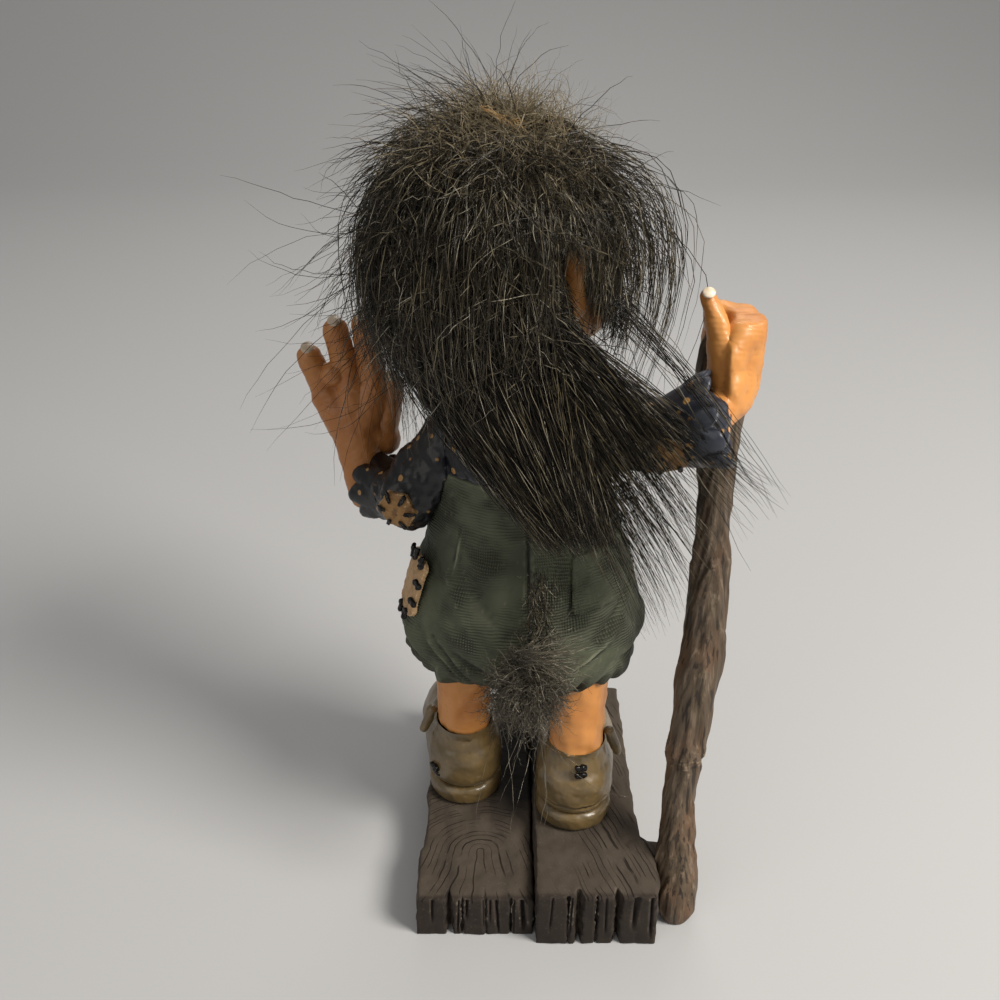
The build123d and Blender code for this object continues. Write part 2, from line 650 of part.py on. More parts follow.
# Sleeves seat on the torso and the trousers and hold the wrists; cuffs close over their ends.
HANDS = {"left": hand_left_form, "right": hand_right_form}
for side, hand_form in HANDS.items():
    end_plane = cuff_plane(side)
    end_radius = SLEEVE_END_RADIUS[side] + CUFF_THICK
    patch_plane = Plane(origin=ARMS[side][1], z_dir=ELBOW_PATCH_FACING[side])

    with BuildPart() as sleeve:
        sleeve_form(side)
        torso_form(GLUE_GAP, Mode.SUBTRACT)
        trousers_form(GLUE_GAP, Mode.SUBTRACT)
        hand_form(GLUE_GAP, Mode.SUBTRACT)
        staff_form(GLUE_GAP, Mode.SUBTRACT)
    keep(sleeve, f"sleeve_{side}")

    with BuildPart() as cuff:
        with BuildSketch(end_plane):
            Circle(end_radius)
        with BuildSketch(end_plane.offset(CUFF_LENGTH)):
            Circle(end_radius + CUFF_FLARE)
        loft()
        with BuildSketch(end_plane.offset(CUFF_LENGTH)) as rim:
            with PolarLocations(end_radius + CUFF_FLARE - CUFF_THICK, SCALLOPS):
                Circle(SCALLOP_RADIUS)
        extrude(rim.sketch, amount=-CUFF_LENGTH / 2)
        sleeve_form(side, GLUE_GAP, Mode.SUBTRACT)
        hand_form(GLUE_GAP, Mode.SUBTRACT)
        staff_form(GLUE_GAP, Mode.SUBTRACT)
    keep(cuff, f"cuff_{side}")

    with BuildPart() as elbow_patch:
        sleeve_form(side, PATCH_THICK + GLUE_GAP)
        with BuildSketch(patch_plane):
            RegularPolygon(ELBOW_PATCH_RADIUS, ELBOW_STITCHES)
        extrude(amount=3 * ELBOW_RADIUS, mode=Mode.INTERSECT)
        sleeve_form(side, GLUE_GAP, Mode.SUBTRACT)
    keep(elbow_patch, f"elbow_patch_{side}")

    with BuildPart() as elbow_stitches:
        sleeve_form(side, PATCH_THICK + STITCH_THICK + 2 * GLUE_GAP)
        turns = [360 * k / ELBOW_STITCHES for k in range(ELBOW_STITCHES)]
        ring = ELBOW_PATCH_RADIUS - STITCH_WIDTH
        marks = [(ring * cos(radians(a)), ring * sin(radians(a)), a) for a in turns]
        slot_bars(patch_plane, marks, 3 * ELBOW_RADIUS)
        sleeve_form(side, PATCH_THICK + 2 * GLUE_GAP, Mode.SUBTRACT)
    keep(elbow_stitches, f"elbow_stitches_{side}")

# The head turns on a plug in the torso's socket.
with BuildPart() as head:
    head_form()
    with BuildSketch(HEAD_PLANE.offset(NECK_END_GAP - NECK_DEPTH)):
        Circle(NECK_RADIUS)
    extrude(amount=NECK_DEPTH + SKULL_LOW)
    with BuildSketch(HEAD_PLANE.offset(HEAD_GAP)):
        Circle(NECK_SHOULDER)
    extrude(amount=SKULL_LOW - HEAD_GAP)
    for side in (-1, 1):
        with Locations(eye_plane(side)):
            Sphere(EYE_RADIUS + GLUE_GAP, mode=Mode.SUBTRACT)
keep(head, "head")

for side, name in ((-1, "eye_left"), (1, "eye_right")):
    with BuildPart() as eye:
        with Locations(eye_plane(side)):
            Sphere(EYE_RADIUS)
    keep(eye, name)

# Scalp hair is round about the neck axis, so that it clears the hands as the head turns.
neck_section = Plane(origin=YOKE, x_dir=HEAD_PLANE.x_dir, z_dir=-HEAD_PLANE.y_dir)
with BuildPart() as hair_cap:
    with BuildSketch(neck_section):
        with BuildLine():
            crown = CenterArc((0, HAIR_TOP - HAIR_RADIUS), HAIR_RADIUS, 0, 90)
            skirt = TangentArc(crown @ 0, (HAIR_HEM_RADIUS, HAIR_BOTTOM), tangent=(0, -1))
            Line(skirt @ 1, (0, HAIR_BOTTOM))
            Line((0, HAIR_BOTTOM), crown @ 1)
        make_face()
    revolve(axis=Axis(YOKE, (0, 0, 1)))
    with BuildSketch(HEAD_PLANE.offset(HAIR_BOTTOM)):
        Circle(HAIR_LINING)
    extrude(amount=SKULL_LOW - HAIR_BOTTOM, mode=Mode.SUBTRACT)
    face_near = head_point(0, FACE_FRONT, FACE_HEIGHT)
    face_far = head_point(0, FACE_FRONT + HAIR_RADIUS, FACE_HEIGHT)
    taper(face_near, face_far, FACE_RADIUS, HAIR_RADIUS, mode=Mode.SUBTRACT)
    head_form(GLUE_GAP, Mode.SUBTRACT)
keep(hair_cap, "hair_cap")

# Long hair lies on the back and over the right sleeve.
with BuildPart() as hair_back:
    hair_lump()
    torso_form(GLUE_GAP, Mode.SUBTRACT)
    trousers_form(PATCH_THICK + 2 * GLUE_GAP, Mode.SUBTRACT)
    for side in ARMS:
        sleeve_form(side, PATCH_THICK + STITCH_THICK + 3 * GLUE_GAP, Mode.SUBTRACT)
keep(hair_back, "hair_back")

# The tail hangs just clear of the seat: a strip of pelt and a tuft.
tail_back = HIP_Y - SEAT_OVAL[1] - TAIL_GAP
tail_top = Vector(TAIL_X, tail_back, HEM_Z + TAIL_RISE)
tuft_middle = tail_top - Vector(0, TUFT_DEPTH, TUFT_DROP)
tuft_top = tuft_middle + Vector(0, 0, TUFT_HEIGHT / 2)


def tail_strip_form(grow=0.0, mode=Mode.ADD):
    """The strip, from the seat to the heart of the tuft."""
    taper(tail_top, tuft_top, TAIL_RADIUS, TAIL_END_RADIUS, grow, mode)


with BuildPart() as tail_strip:
    tail_strip_form()
    trousers_form(TAIL_GAP, Mode.SUBTRACT)
keep(tail_strip, "tail_strip")

with BuildPart() as tail_tuft:
    levels = []
    for step in range(-TUFT_LEVELS, TUFT_LEVELS + 1):
        latitude = radians(90 * step / (TUFT_LEVELS + 0.5))
        height = tuft_middle.Z + TUFT_HEIGHT * sin(latitude)
        swell = cos(latitude)
        levels.append((tuft_middle.X, tuft_middle.Y, height, TUFT_WIDTH * swell, TUFT_DEPTH * swell))
    ovals(levels)
    trousers_form(TAIL_GAP, Mode.SUBTRACT)
    tail_strip_form(GLUE_GAP, Mode.SUBTRACT)
keep(tail_tuft, "tail_tuft")

print("head_turn axis at", tuple(YOKE))
print("tail_lift axis at", tuple(tail_top))
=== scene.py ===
import json
from math import pi, radians

import bmesh
import bpy
import numpy as np
from mathutils import Matrix, Vector


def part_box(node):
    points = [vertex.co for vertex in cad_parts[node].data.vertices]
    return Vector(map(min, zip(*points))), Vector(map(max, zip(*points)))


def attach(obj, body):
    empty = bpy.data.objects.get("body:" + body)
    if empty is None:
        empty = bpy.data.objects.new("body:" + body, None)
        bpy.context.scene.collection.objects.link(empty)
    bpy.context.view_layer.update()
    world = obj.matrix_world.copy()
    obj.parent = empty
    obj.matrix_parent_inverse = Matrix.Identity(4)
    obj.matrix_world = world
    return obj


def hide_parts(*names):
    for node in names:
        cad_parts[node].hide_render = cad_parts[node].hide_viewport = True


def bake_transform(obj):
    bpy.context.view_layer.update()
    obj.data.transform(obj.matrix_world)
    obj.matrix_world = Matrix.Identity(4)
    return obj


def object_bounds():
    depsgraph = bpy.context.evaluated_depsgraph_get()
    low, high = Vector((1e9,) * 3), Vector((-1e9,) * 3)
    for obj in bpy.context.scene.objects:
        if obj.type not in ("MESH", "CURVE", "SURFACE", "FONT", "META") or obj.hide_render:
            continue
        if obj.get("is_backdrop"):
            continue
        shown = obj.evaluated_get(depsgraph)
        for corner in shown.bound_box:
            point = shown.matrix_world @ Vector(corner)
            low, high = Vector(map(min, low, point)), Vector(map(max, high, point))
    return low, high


# A folk ornament seen from behind: a cast and painted troll on two planks, with fur hair and a fur tail.
# Lengths below are in millimetres and are turned into metres where a mesh is written.
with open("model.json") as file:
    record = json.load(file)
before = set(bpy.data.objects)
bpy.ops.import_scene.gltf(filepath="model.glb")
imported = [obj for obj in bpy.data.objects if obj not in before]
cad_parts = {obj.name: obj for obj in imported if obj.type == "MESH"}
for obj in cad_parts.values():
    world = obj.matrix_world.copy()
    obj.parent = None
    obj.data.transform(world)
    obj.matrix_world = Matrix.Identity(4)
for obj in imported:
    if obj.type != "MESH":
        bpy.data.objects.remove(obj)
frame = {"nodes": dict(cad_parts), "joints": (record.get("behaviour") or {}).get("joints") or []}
cad_low, cad_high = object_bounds()
MM = 0.001


# Base planks: one resin casting made to look like two weathered boards, glued under the shoes.
# The ends are split, the grain is carved in the mould, and a dark wash is wiped off the edges.
def box_mm(node):
    """Lowest and highest corner of a CAD node, in millimetres."""
    return tuple(np.array(corner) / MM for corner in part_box(node))


def new_object(name, data):
    """A new object of a mesh, a lamp or a camera, put into the scene."""
    made = bpy.data.objects.new(name, data)
    bpy.context.scene.collection.objects.link(made)
    return made


def recast(name, node, voxel, rounds, body="figure", blobs=()):
    """A fine, closed, softened copy of a CAD node, filled out with balls, which then stands for that node."""
    joined = bmesh.new()
    joined.from_mesh(frame["nodes"][node].data)
    bmesh.ops.remove_doubles(joined, verts=joined.verts, dist=0.002 * MM)
    for centre, radius in blobs:
        spot = Matrix.Translation(Vector(centre) * MM)
        bmesh.ops.create_uvsphere(joined, u_segments=24, v_segments=16, radius=radius * MM, matrix=spot)
    mesh = bpy.data.meshes.new(name)
    joined.to_mesh(mesh)
    joined.free()
    piece = new_object(name, mesh)
    fine = piece.modifiers.new("fine", "REMESH")
    fine.mode = "VOXEL"
    fine.voxel_size = voxel * MM
    soft = piece.modifiers.new("soft", "SMOOTH")
    soft.factor = 0.5
    soft.iterations = rounds
    done = bpy.data.meshes.new_from_object(piece.evaluated_get(bpy.context.evaluated_depsgraph_get()))
    piece.modifiers.clear()
    piece.data = done
    done.name = name
    done.polygons.foreach_set("use_smooth", np.ones(len(done.polygons), bool))
    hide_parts(node)
    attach(piece, body)
    return piece


def read(piece):
    """A piece's points and normals, in millimetres."""
    count = len(piece.data.vertices)
    points, normals = np.empty(count * 3), np.empty(count * 3)
    piece.data.vertices.foreach_get("co", points)
    piece.data.vertices.foreach_get("normal", normals)
    return points.reshape(-1, 3) / MM, normals.reshape(-1, 3)


def settle(piece, points, rounds):
    """A piece's points after each has moved to the middle of its neighbours, so many times."""
    edges = np.empty(len(piece.data.edges) * 2, int)
    piece.data.edges.foreach_get("vertices", edges)
    first, second = edges.reshape(-1, 2).T
    count = np.bincount(first, minlength=len(points)) + np.bincount(second, minlength=len(points))
    for _ in range(rounds):
        total = np.zeros_like(points)
        np.add.at(total, first, points[second])
        np.add.at(total, second, points[first])
        points = total / count[:, None]
    return points


def carve(piece, points, reach):
    """Move a piece's points and keep how proud or sunk each lies, over a reach in edge steps."""
    piece.data.vertices.foreach_set("co", (points * MM).ravel())
    piece.data.update()
    relief = ((points - settle(piece, points, reach)) * read(piece)[1]).sum(1)
    layer = piece.data.attributes.new("relief", "FLOAT", "POINT")
    layer.data.foreach_set("value", relief.astype(np.float32))


def waves(points, size, seed, octaves=3):
    """Smooth random heights, about -1 to 1, with lumps of about a size in millimetres."""
    chance = np.random.default_rng(seed)
    height = np.zeros(len(points))
    for octave in range(octaves):
        for _ in range(7):
            along = chance.normal(size=3)
            along *= 2 ** octave * chance.uniform(0.6, 1.4) * 2 * pi / size / np.linalg.norm(along)
            height += np.sin(points @ along + chance.uniform(0, 2 * pi)) / 2 ** octave
    return height / 4


def hump(distance, width):
    """1 at no distance, falling to 0 over a width."""
    return np.exp(-(distance / width) ** 2)


def step(value, low, high):
    """0 below low, 1 above high, smooth between."""
    share = np.clip((value - low) / (high - low), 0, 1)
    return share * share * (3 - 2 * share)


def unit(vectors):
    """Vectors at a length of 1."""
    return vectors / (np.linalg.norm(vectors, axis=-1, keepdims=True) + 1e-9)


class Wire:
    """A socket in a material's node tree. Arithmetic on wires adds the Math nodes for it."""

    def __init__(self, tree, socket=None):
        self.tree = tree
        self.socket = socket

    def node(self, kind, settings, inputs, output=0):
        """A new node: its settings are set first, then its inputs are set or joined."""
        made = self.tree.nodes.new("ShaderNode" + kind)
        for key, value in settings.items():
            setattr(made, key, value)
        for key, value in inputs.items():
            self.feed(made.inputs[key], value)
        return Wire(self.tree, made.outputs[output])

    def feed(self, target, value):
        """Join a wire to an input, or set the input to a value."""
        if isinstance(value, Wire):
            self.tree.links.new(value.socket, target)
        else:
            target.default_value = value

    def math(self, operation, first, second=0.0):
        """A Math node on one or two values."""
        return self.node("Math", {"operation": operation}, {0: first, 1: second})

    def __add__(self, other):
        return self.math("ADD", self, other)

    def __sub__(self, other):
        return self.math("SUBTRACT", self, other)

    def __rsub__(self, other):
        return self.math("SUBTRACT", other, self)

    def __mul__(self, other):
        return self.math("MULTIPLY", self, other)

    __radd__ = __add__
    __rmul__ = __mul__

    def ramp(self, low, high):
        """0 at low, 1 at high, smooth between."""
        return self.node("MapRange", {"interpolation_type": "SMOOTHSTEP"}, {0: self, 1: low, 2: high})

    def mix(self, none, full):
        """A colour between two, by this wire."""
        return self.node("Mix", {"data_type": "RGBA"}, {0: self, 6: none, 7: full}, 2)

    def noise(self, size, detail=3.0):
        """Cloudy values at this place, with clouds of a size in millimetres."""
        return self.node("TexNoise", {}, {"Vector": self, "Scale": 1 / size, "Detail": detail})

    def stretch(self, x, y, z):
        """This place with each axis scaled."""
        return self.node("VectorMath", {"operation": "MULTIPLY"}, {0: self, 1: (x, y, z)})

    def axis(self, index):
        """One coordinate of this place."""
        return self.node("SeparateXYZ", {}, {0: self}, index)


def paint(name, rough, specular=0.5, coat=0.0):
    """A material, its shader, its place in millimetres and how proud or sunk that place lies."""
    made = bpy.data.materials.new(name)
    made.use_nodes = True
    shader = made.node_tree.nodes["Principled BSDF"]
    shader.inputs["Roughness"].default_value = rough
    shader.inputs["Specular IOR Level"].default_value = specular
    shader.inputs["Coat Weight"].default_value = coat
    start = Wire(made.node_tree)
    place = start.node("TexCoord", {}, {}, "Object")
    place = start.node("VectorMath", {"operation": "SCALE"}, {0: place, "Scale": 1 / MM})
    relief = start.node("Attribute", {"attribute_name": "relief"}, {}, "Fac")
    return made, shader, place, relief


def dress(piece, material):
    """Give a piece its material."""
    piece.data.materials.clear()
    piece.data.materials.append(material)


def wash(relief, depth, dark, plain, pale):
    """Three paints by relief: dark where sunk by a depth, pale where as proud."""
    shaded = relief.ramp(-depth, 0.0).mix(dark, plain)
    return relief.ramp(0.25 * depth, depth).mix(shaded, pale)


def bump(place, height, distance):
    """A normal that follows a height, for a distance in millimetres."""
    return place.node("Bump", {}, {"Strength": 1.0, "Distance": distance * MM, "Height": height})


def cover(shader, place, colour, rough=None, normal=None):
    """Join a paint's colour, and its roughness and normal where it has them, to its shader."""
    for name, value in (("Base Color", colour), ("Roughness", rough), ("Normal", normal)):
        if value is not None:
            place.feed(shader.inputs[name], value)


# The left plank's grain arches round a knot, and the right one's runs at a slant.
PLANK_VOXEL = 0.22
KNOT = (-9.8, -17.3)
ARCH = 1.25
RIGHT_SLANT = 0.37
# Where one plank ends and the next begins, the lower plank's top and near end, and how much higher
# and nearer the right one is. Then the middle of the painted shadow between the shoes.
PLANK_GAP = (0.2, 0.8)
PLANK_TOP = (8.4, 8.9)
PLANK_END = (-27.4, -28.6)
RIGHT_HIGHER = 3.0
RIGHT_NEARER = 2.0
SHADOW_BETWEEN_SHOES = (-2.4, 8.0)
plank_paint, shader, place, relief = paint("plank_resin", 0.78, 0.25)
x, y, z = place.axis(0), place.axis(1), place.axis(2)
bend = place.noise(7.0, 2.0)
above = place.math("MAXIMUM", y - KNOT[1], 0.0) * ARCH
below = place.math("MAXIMUM", KNOT[1] - y, 0.0) * 0.035
spread = (x - KNOT[0]) * (1.0 - below)
arches = place.math("SQRT", spread * spread + above * above)
on_right = x.ramp(*PLANK_GAP)
lane = arches + on_right * (x + y * RIGHT_SLANT - arches + 40.0) + bend * 1.6
uneven = place.node("TexNoise", {"noise_dimensions": "1D"}, {"W": lane, "Scale": 0.45, "Detail": 1.0})
rank = place.math("FRACT", lane * 0.78 + uneven * 2.2)
groove = place.math("ABSOLUTE", rank - 0.5).ramp(0.10, 0.03)
groove = groove * place.noise(4.5, 1.0).ramp(0.38, 0.56) * (z - on_right * RIGHT_HIGHER).ramp(*PLANK_TOP)
groove = groove * (1.0 - on_right * x.ramp(11.0, 7.0) * 0.9)
grime = place.stretch(1.0, 0.3, 1.0).noise(3.5, 5.0)
speck = place.noise(0.45, 2.0)
colour = wash(relief, 0.16, (0.004, 0.003, 0.003, 1), (0.068, 0.053, 0.040, 1), (0.17, 0.135, 0.105, 1))
colour = grime.ramp(0.42, 0.72).mix(colour, (0.047, 0.037, 0.029, 1))
at_end = (y + on_right * RIGHT_NEARER).ramp(*PLANK_END)
colour = (at_end * 0.78).mix(colour, (0.017, 0.012, 0.010, 1))
chip = relief.ramp(0.10, 0.22) * place.noise(1.6, 3.0).ramp(0.54, 0.62)
colour = (chip * 0.6).mix(colour, (0.34, 0.29, 0.22, 1))
colour = (speck.ramp(0.60, 0.76) * 0.25).mix(colour, (0.15, 0.125, 0.10, 1))
colour = (groove * 0.9).mix(colour, (0.010, 0.008, 0.006, 1))
# Painted shadow: the planks between the shoes are darkened almost to black.
across, back = (x - SHADOW_BETWEEN_SHOES[0]) * 0.22, y - SHADOW_BETWEEN_SHOES[1]
shade = across * across + back * back * 0.005
colour = (shade.ramp(1.6, 0.7) * 0.96).mix(colour, (0.003, 0.002, 0.002, 1))
cover(shader, place, colour, normal=bump(place, speck * 0.25 + grime * 0.6 - groove, 0.16))
# Splits in the near ends, each as its place across and its half width.
SPLITS = {
    "left": (
        (-18.4, 0.17), (-13.4, 0.19), (-12.2, 0.36), (-8.9, 0.20),
        (-7.8, 0.16), (-6.7, 0.20), (-3.6, 0.27), (-2.0, 0.30),
    ),
    "right": (
        (3.6, 0.14), (6.3, 0.20), (7.1, 0.16), (11.5, 0.22),
        (13.2, 0.15), (18.4, 0.24), (20.4, 0.20),
    ),
}
# How far the right plank spreads at its near end, and how far both close up at the gap.
PLANK_SPREAD = 1.9
GAP_CLOSE = 0.45
for number, side in enumerate(("left", "right")):
    plank = recast(f"plank_{side}_cast", f"base_plank_{side}", PLANK_VOXEL, 3)
    points, normals = read(plank)
    low, high = box_mm(f"base_plank_{side}")
    chance = np.random.default_rng(40 + number)
    near = np.clip(-normals[:, 1] * 2 - 1, 0, 1)
    splits = np.zeros(len(points))
    for centre, width in SPLITS[side]:
        lean = chance.uniform(-0.06, 0.06) * (points[:, 2] - high[2])
        foot = low[2] + chance.uniform(-1.0, 4.0)
        fade = np.clip((points[:, 2] - foot) / 3.0, 0, 1)
        splits += min(1.5, 5 * width) * fade * hump(points[:, 0] - centre - lean, width)
    aside = np.clip(np.abs(normals[:, 0]) * 2 - 1, 0, 1)
    rough = 0.2 * waves(points, 8.0, 70 + number) * (normals[:, 2] > -0.5)
    rough += 0.2 * aside * waves(points * (1, 0.15, 1), 1.8, 72 + number, 2)
    moved = points + normals * (rough - near * splits)[:, None]
    if side == "right":
        moved[:, 0] += PLANK_SPREAD * step(points[:, 0], 17, 20.5) * hump(points[:, 1] + 25, 8.0)
        moved[:, 0] -= GAP_CLOSE * step(points[:, 0], 2.5, 1.3)
    else:
        moved[:, 0] += GAP_CLOSE * step(points[:, 0], -1.8, -0.6)
    moved[:, 2] = np.maximum(moved[:, 2], 0)
    carve(plank, moved, 4)
    dress(plank, plank_paint)


# Walking staff: a cast stick with a bark relief, dark wash in the furrows, held in the fist and glued
# to a lug on the right plank. It has a worn round foot and two knots, as height, half width and share.
STAFF_KNOTS = ((34.0, 2.2, 1.0), (71.0, 1.8, 0.6))
staff = recast("staff_cast", "walking_staff", 0.26, 4)
points, normals = read(staff)
low = box_mm("walking_staff")[0]
furrow = waves(points * (1, 1, 0.03), 2.6, 80, 2)
lump = waves(points, 9.0, 81, 2)
knot = sum(share * hump(points[:, 2] - rise, width) for rise, width, share in STAFF_KNOTS)
depth = 0.30 * furrow + 0.22 * lump + 0.45 * step(points[:, 2], 16, 3)
depth += 0.7 * knot * (0.5 + 0.5 * waves(points, 3.0, 82))
end = np.clip((points[:, 2] - low[2]) / 3.0, 0.05, 1)
moved = points + normals * (depth * end)[:, None]
moved[:, 2] = np.maximum(moved[:, 2], 0)
carve(staff, moved, 3)
bark, shader, place, relief = paint("staff_bark", 0.55, 0.4)
streak = place.stretch(1.0, 1.0, 0.028).noise(0.75, 4.0)
patch = place.stretch(1.0, 1.0, 0.35).noise(4.0, 3.0)
colour = wash(relief, 0.11, (0.012, 0.008, 0.006, 1), (0.092, 0.064, 0.040, 1), (0.25, 0.185, 0.125, 1))
colour = (patch.ramp(0.48, 0.66) * 0.75).mix(colour, (0.135, 0.075, 0.042, 1))
colour = (streak.ramp(0.54, 0.70) * 0.6).mix(colour, (0.24, 0.18, 0.125, 1))
colour = (streak.ramp(0.46, 0.36) * 0.8).mix(colour, (0.012, 0.008, 0.006, 1))
# Painted shade: the staff grows darker toward its top.
colour = (place.axis(2).ramp(20.0, 95.0) * 0.35).mix(colour, (0.024, 0.018, 0.013, 1))
cover(shader, place, colour, rough=0.42 + patch * 0.3, normal=bump(place, streak, 0.30))
dress(staff, bark)


# Legs: bare cast legs that stand in the shoes and go up into the trousers, painted orange with a brown wash.
# The hands and the head have the same paint, which is darker on the legs; the left hand gets painted shade.
LEGS_BELOW = (52.0, 44.0)
LEFT_HAND_SHADE = (-19.0, -25.0)
skin, shader, place, relief = paint("skin", 0.42, 0.45, 0.08)
cloud = place.noise(6.0, 3.0)
colour = wash(relief, 0.16, (0.17, 0.055, 0.018, 1), (0.62, 0.270, 0.072, 1), (0.78, 0.41, 0.15, 1))
colour = (cloud.ramp(0.42, 0.72) * 0.55).mix(colour, (0.44, 0.155, 0.042, 1))
colour = (place.axis(2).ramp(*LEGS_BELOW) * 0.2).mix(colour, (0.30, 0.10, 0.03, 1))
# Painted shade: the left hand is darkened.
colour = (place.axis(0).ramp(*LEFT_HAND_SHADE) * 0.62).mix(colour, (0.25, 0.085, 0.024, 1))
cover(shader, place, colour, rough=0.34 + cloud * 0.2, normal=bump(place, cloud, 0.10))
legs = {}
for number, side in enumerate(("left", "right")):
    legs[side] = leg = recast(f"leg_{side}_cast", f"leg_{side}", 0.35, 8)
    points, normals = read(leg)
    top = box_mm(f"shoe_{side}")[1][2]
    depth = 0.22 * waves(points, 6.0, 100 + number) - 1.1 * step(points[:, 2], top - 0.3, top - 1.6)
    carve(leg, points + normals * depth[:, None], 3)
    dress(leg, skin)


# Shoes: round olive-brown uppers over welted soles, painted and rubbed so that the bulges shine.
# Each has black mending stitches and a flap at the collar; the right one is creased above its welt.
shoe_paint, shader, place, relief = paint("shoe_resin", 0.36, 0.5, 0.45)
shader.inputs["Coat Roughness"].default_value = 0.22
cloud = place.noise(3.5, 3.0)
scuff = place.noise(1.4, 4.0)
colour = wash(relief, 0.09, (0.014, 0.009, 0.003, 1), (0.145, 0.095, 0.036, 1), (0.22, 0.152, 0.070, 1))
colour = cloud.ramp(0.40, 0.68).mix(colour, (0.095, 0.066, 0.028, 1))
colour = (scuff.ramp(0.62, 0.76) * 0.35).mix(colour, (0.28, 0.24, 0.18, 1))
cover(shader, place, colour, rough=0.30 + scuff * 0.2, normal=bump(place, scuff, 0.04))
thread, shader, place, _ = paint("thread_black", 0.14, 0.3)
# Painted sheen: the black thread is a little lighter in small random spots.
colour = place.noise(0.5).ramp(0.3, 0.8).mix((0.002, 0.002, 0.002, 1), (0.010, 0.009, 0.008, 1))
cover(shader, place, colour)
CREASE_RISE = 2.6
LEG_HUG = 0.3
for number, side in enumerate(("left", "right")):
    low, high = box_mm(f"shoe_{side}")
    ankle = read(legs[side])[0]
    ankle = ankle[np.abs(ankle[:, 2] - high[2] - 0.8) < 0.8]
    leg_middle, leg_radius = (ankle.max(0) + ankle.min(0)) / 2, np.ptp(ankle[:, 0]) / 2
    for kind, voxel in (("shoe", 0.3), ("sole", 0.26), ("shoe_flap", 0.16)):
        piece = recast(f"{kind}_{side}_cast", f"{kind}_{side}", voxel, 6)
        points, normals = read(piece)
        level = np.hypot(normals[:, 0], normals[:, 1])
        depth = 0.10 * waves(points, 6.0, 90 + number) + 0.03 * waves(points, 1.6, 92 + number)
        moved = points
        if kind == "shoe":
            rise = points[:, 2] - low[2]
            depth += 1.0 * level * step(rise, 5.5, 0.6)
            if side == "right":
                crease = CREASE_RISE + 0.5 * waves(points * (1, 1, 0), 9.0, 95)
                depth -= 0.4 * level * hump(rise - crease, 0.3)
            out = points[:, :2] - leg_middle[:2]
            reach = np.hypot(*out.T)
            hug = (leg_radius + LEG_HUG - reach) * step(rise, 8.0, 12.6) * step(reach, 12, 9) / reach
            moved = points + np.column_stack([out * hug[:, None], np.zeros(len(points))])
        elif kind == "sole":
            depth -= 0.45 * level
        carve(piece, moved + normals * depth[:, None], 4)
        dress(piece, shoe_paint)
    stitches = recast(f"heel_stitches_{side}_cast", f"heel_stitches_{side}", 0.1, 8)
    points, normals = read(stitches)
    carve(stitches, points + normals * (0.18 + 0.12 * waves(points, 1.4, 96))[:, None], 2)
    dress(stitches, thread)


# Trousers: short green trousers with a cloth texture in the casting, full at the seat and gathered
# into two hems. A pocket and a tan patch with black thread are cast on, and folds run from the hips.
def stroke(flat, start, end, width):
    """How near flat places lie to a stroke from start to end: 1 on it, 0 a width or two away."""
    start, end = np.array(start), np.array(end)
    run = end - start
    share = np.clip((flat - start) @ run / (run @ run), 0, 1)
    away = flat - start - share[:, None] * run
    return hump(np.hypot(*away.T), width) * (0.35 + 0.65 * np.sin(pi * np.clip(share, 0.04, 0.96)))


# Folds as start and end, each as arc from the middle of the seat and rise from the hem, then width and depth.
FOLDS = (
    ((-20, 33), (-4, 19), 1.8, -0.8), ((-22, 29), (-6, 15), 1.4, 0.7), ((-17, 25), (-3, 12), 1.2, -0.6),
    ((-24, 15), (-14, 3), 1.0, -1.1), ((-20, 15), (-10, 4), 0.9, -0.9), ((-17, 14), (-4, 8), 1.0, -0.8),
    ((-28, 13), (-19, 1), 1.3, 0.9), ((-15, 6), (-14, 0), 1.0, -1.2), ((-9, 6), (-10, 0), 0.9, -0.9),
    ((-46, 7), (-25, 4), 2.3, -3.6), ((-33, 12), (-31, 1), 1.1, -0.9), ((-16.5, 36), (-17.5, 28), 0.6, 0.55),
    ((46, 7), (22, 7.5), 1.7, -3.2), ((24, 17), (11, 11), 1.0, 0.8), ((19, 14), (7, 7), 0.9, -0.8),
    ((33, 3), (21, 2), 1.1, 0.6), ((15, 6), (16, 0), 0.9, -1.0), ((25, 9), (27, 1), 1.1, 0.7),
    ((30, 23), (14, 15), 0.9, -0.6), ((21, 4), (20, 0), 0.9, -0.9), ((38, 14), (30, 11), 1.4, 0.7),
    ((-43, 20), (-49, 6), 1.5, -0.9), ((45, 22), (51, 7), 1.5, -0.9), ((-58, 16), (-56, 2), 1.3, -0.9),
    ((58, 16), (56, 2), 1.3, -0.9), ((-65, 24), (-45, 14), 1.5, -0.8), ((65, 24), (45, 14), 1.5, -0.8),
)
# How far the left hem is lifted, the left hip and waist are tucked in and the left hem flares,
# and how deep the seam on the seat is.
HEM_LIFT = 2.3
HIP_TUCK = 2.6
WAIST_TUCK = 1.6
HEM_FLARE = 1.4
SEAM_DEPTH = 0.5
trousers = recast("trousers_cast", "trousers", 0.36, 10)
points, normals = read(trousers)
low, high = box_mm("trousers")
middle = (low + high) / 2
turn = np.arctan2(points[:, 0] - middle[0], middle[1] - points[:, 1])
rise = points[:, 2] - low[2]
flat = np.column_stack([turn * (high[0] - low[0]) / 2, rise])
depth = 0.28 * waves(points, 11.0, 110, 2) + 0.07 * waves(points, 3.0, 111, 2)
for start, end, width, sunk in FOLDS:
    depth += sunk * stroke(flat, start, end, width)
gather = np.clip(1 - rise / 9.0, 0, 1) ** 1.5
depth += 0.45 * gather * np.sin(flat[:, 0] * 1.15 + 1.3 * waves(points * (1, 1, 0), 14.0, 112, 1))
depth -= SEAM_DEPTH * hump(flat[:, 0] - 1.5, 0.55) * np.clip(rise / 10, 0, 1) * (normals[:, 1] < 0)
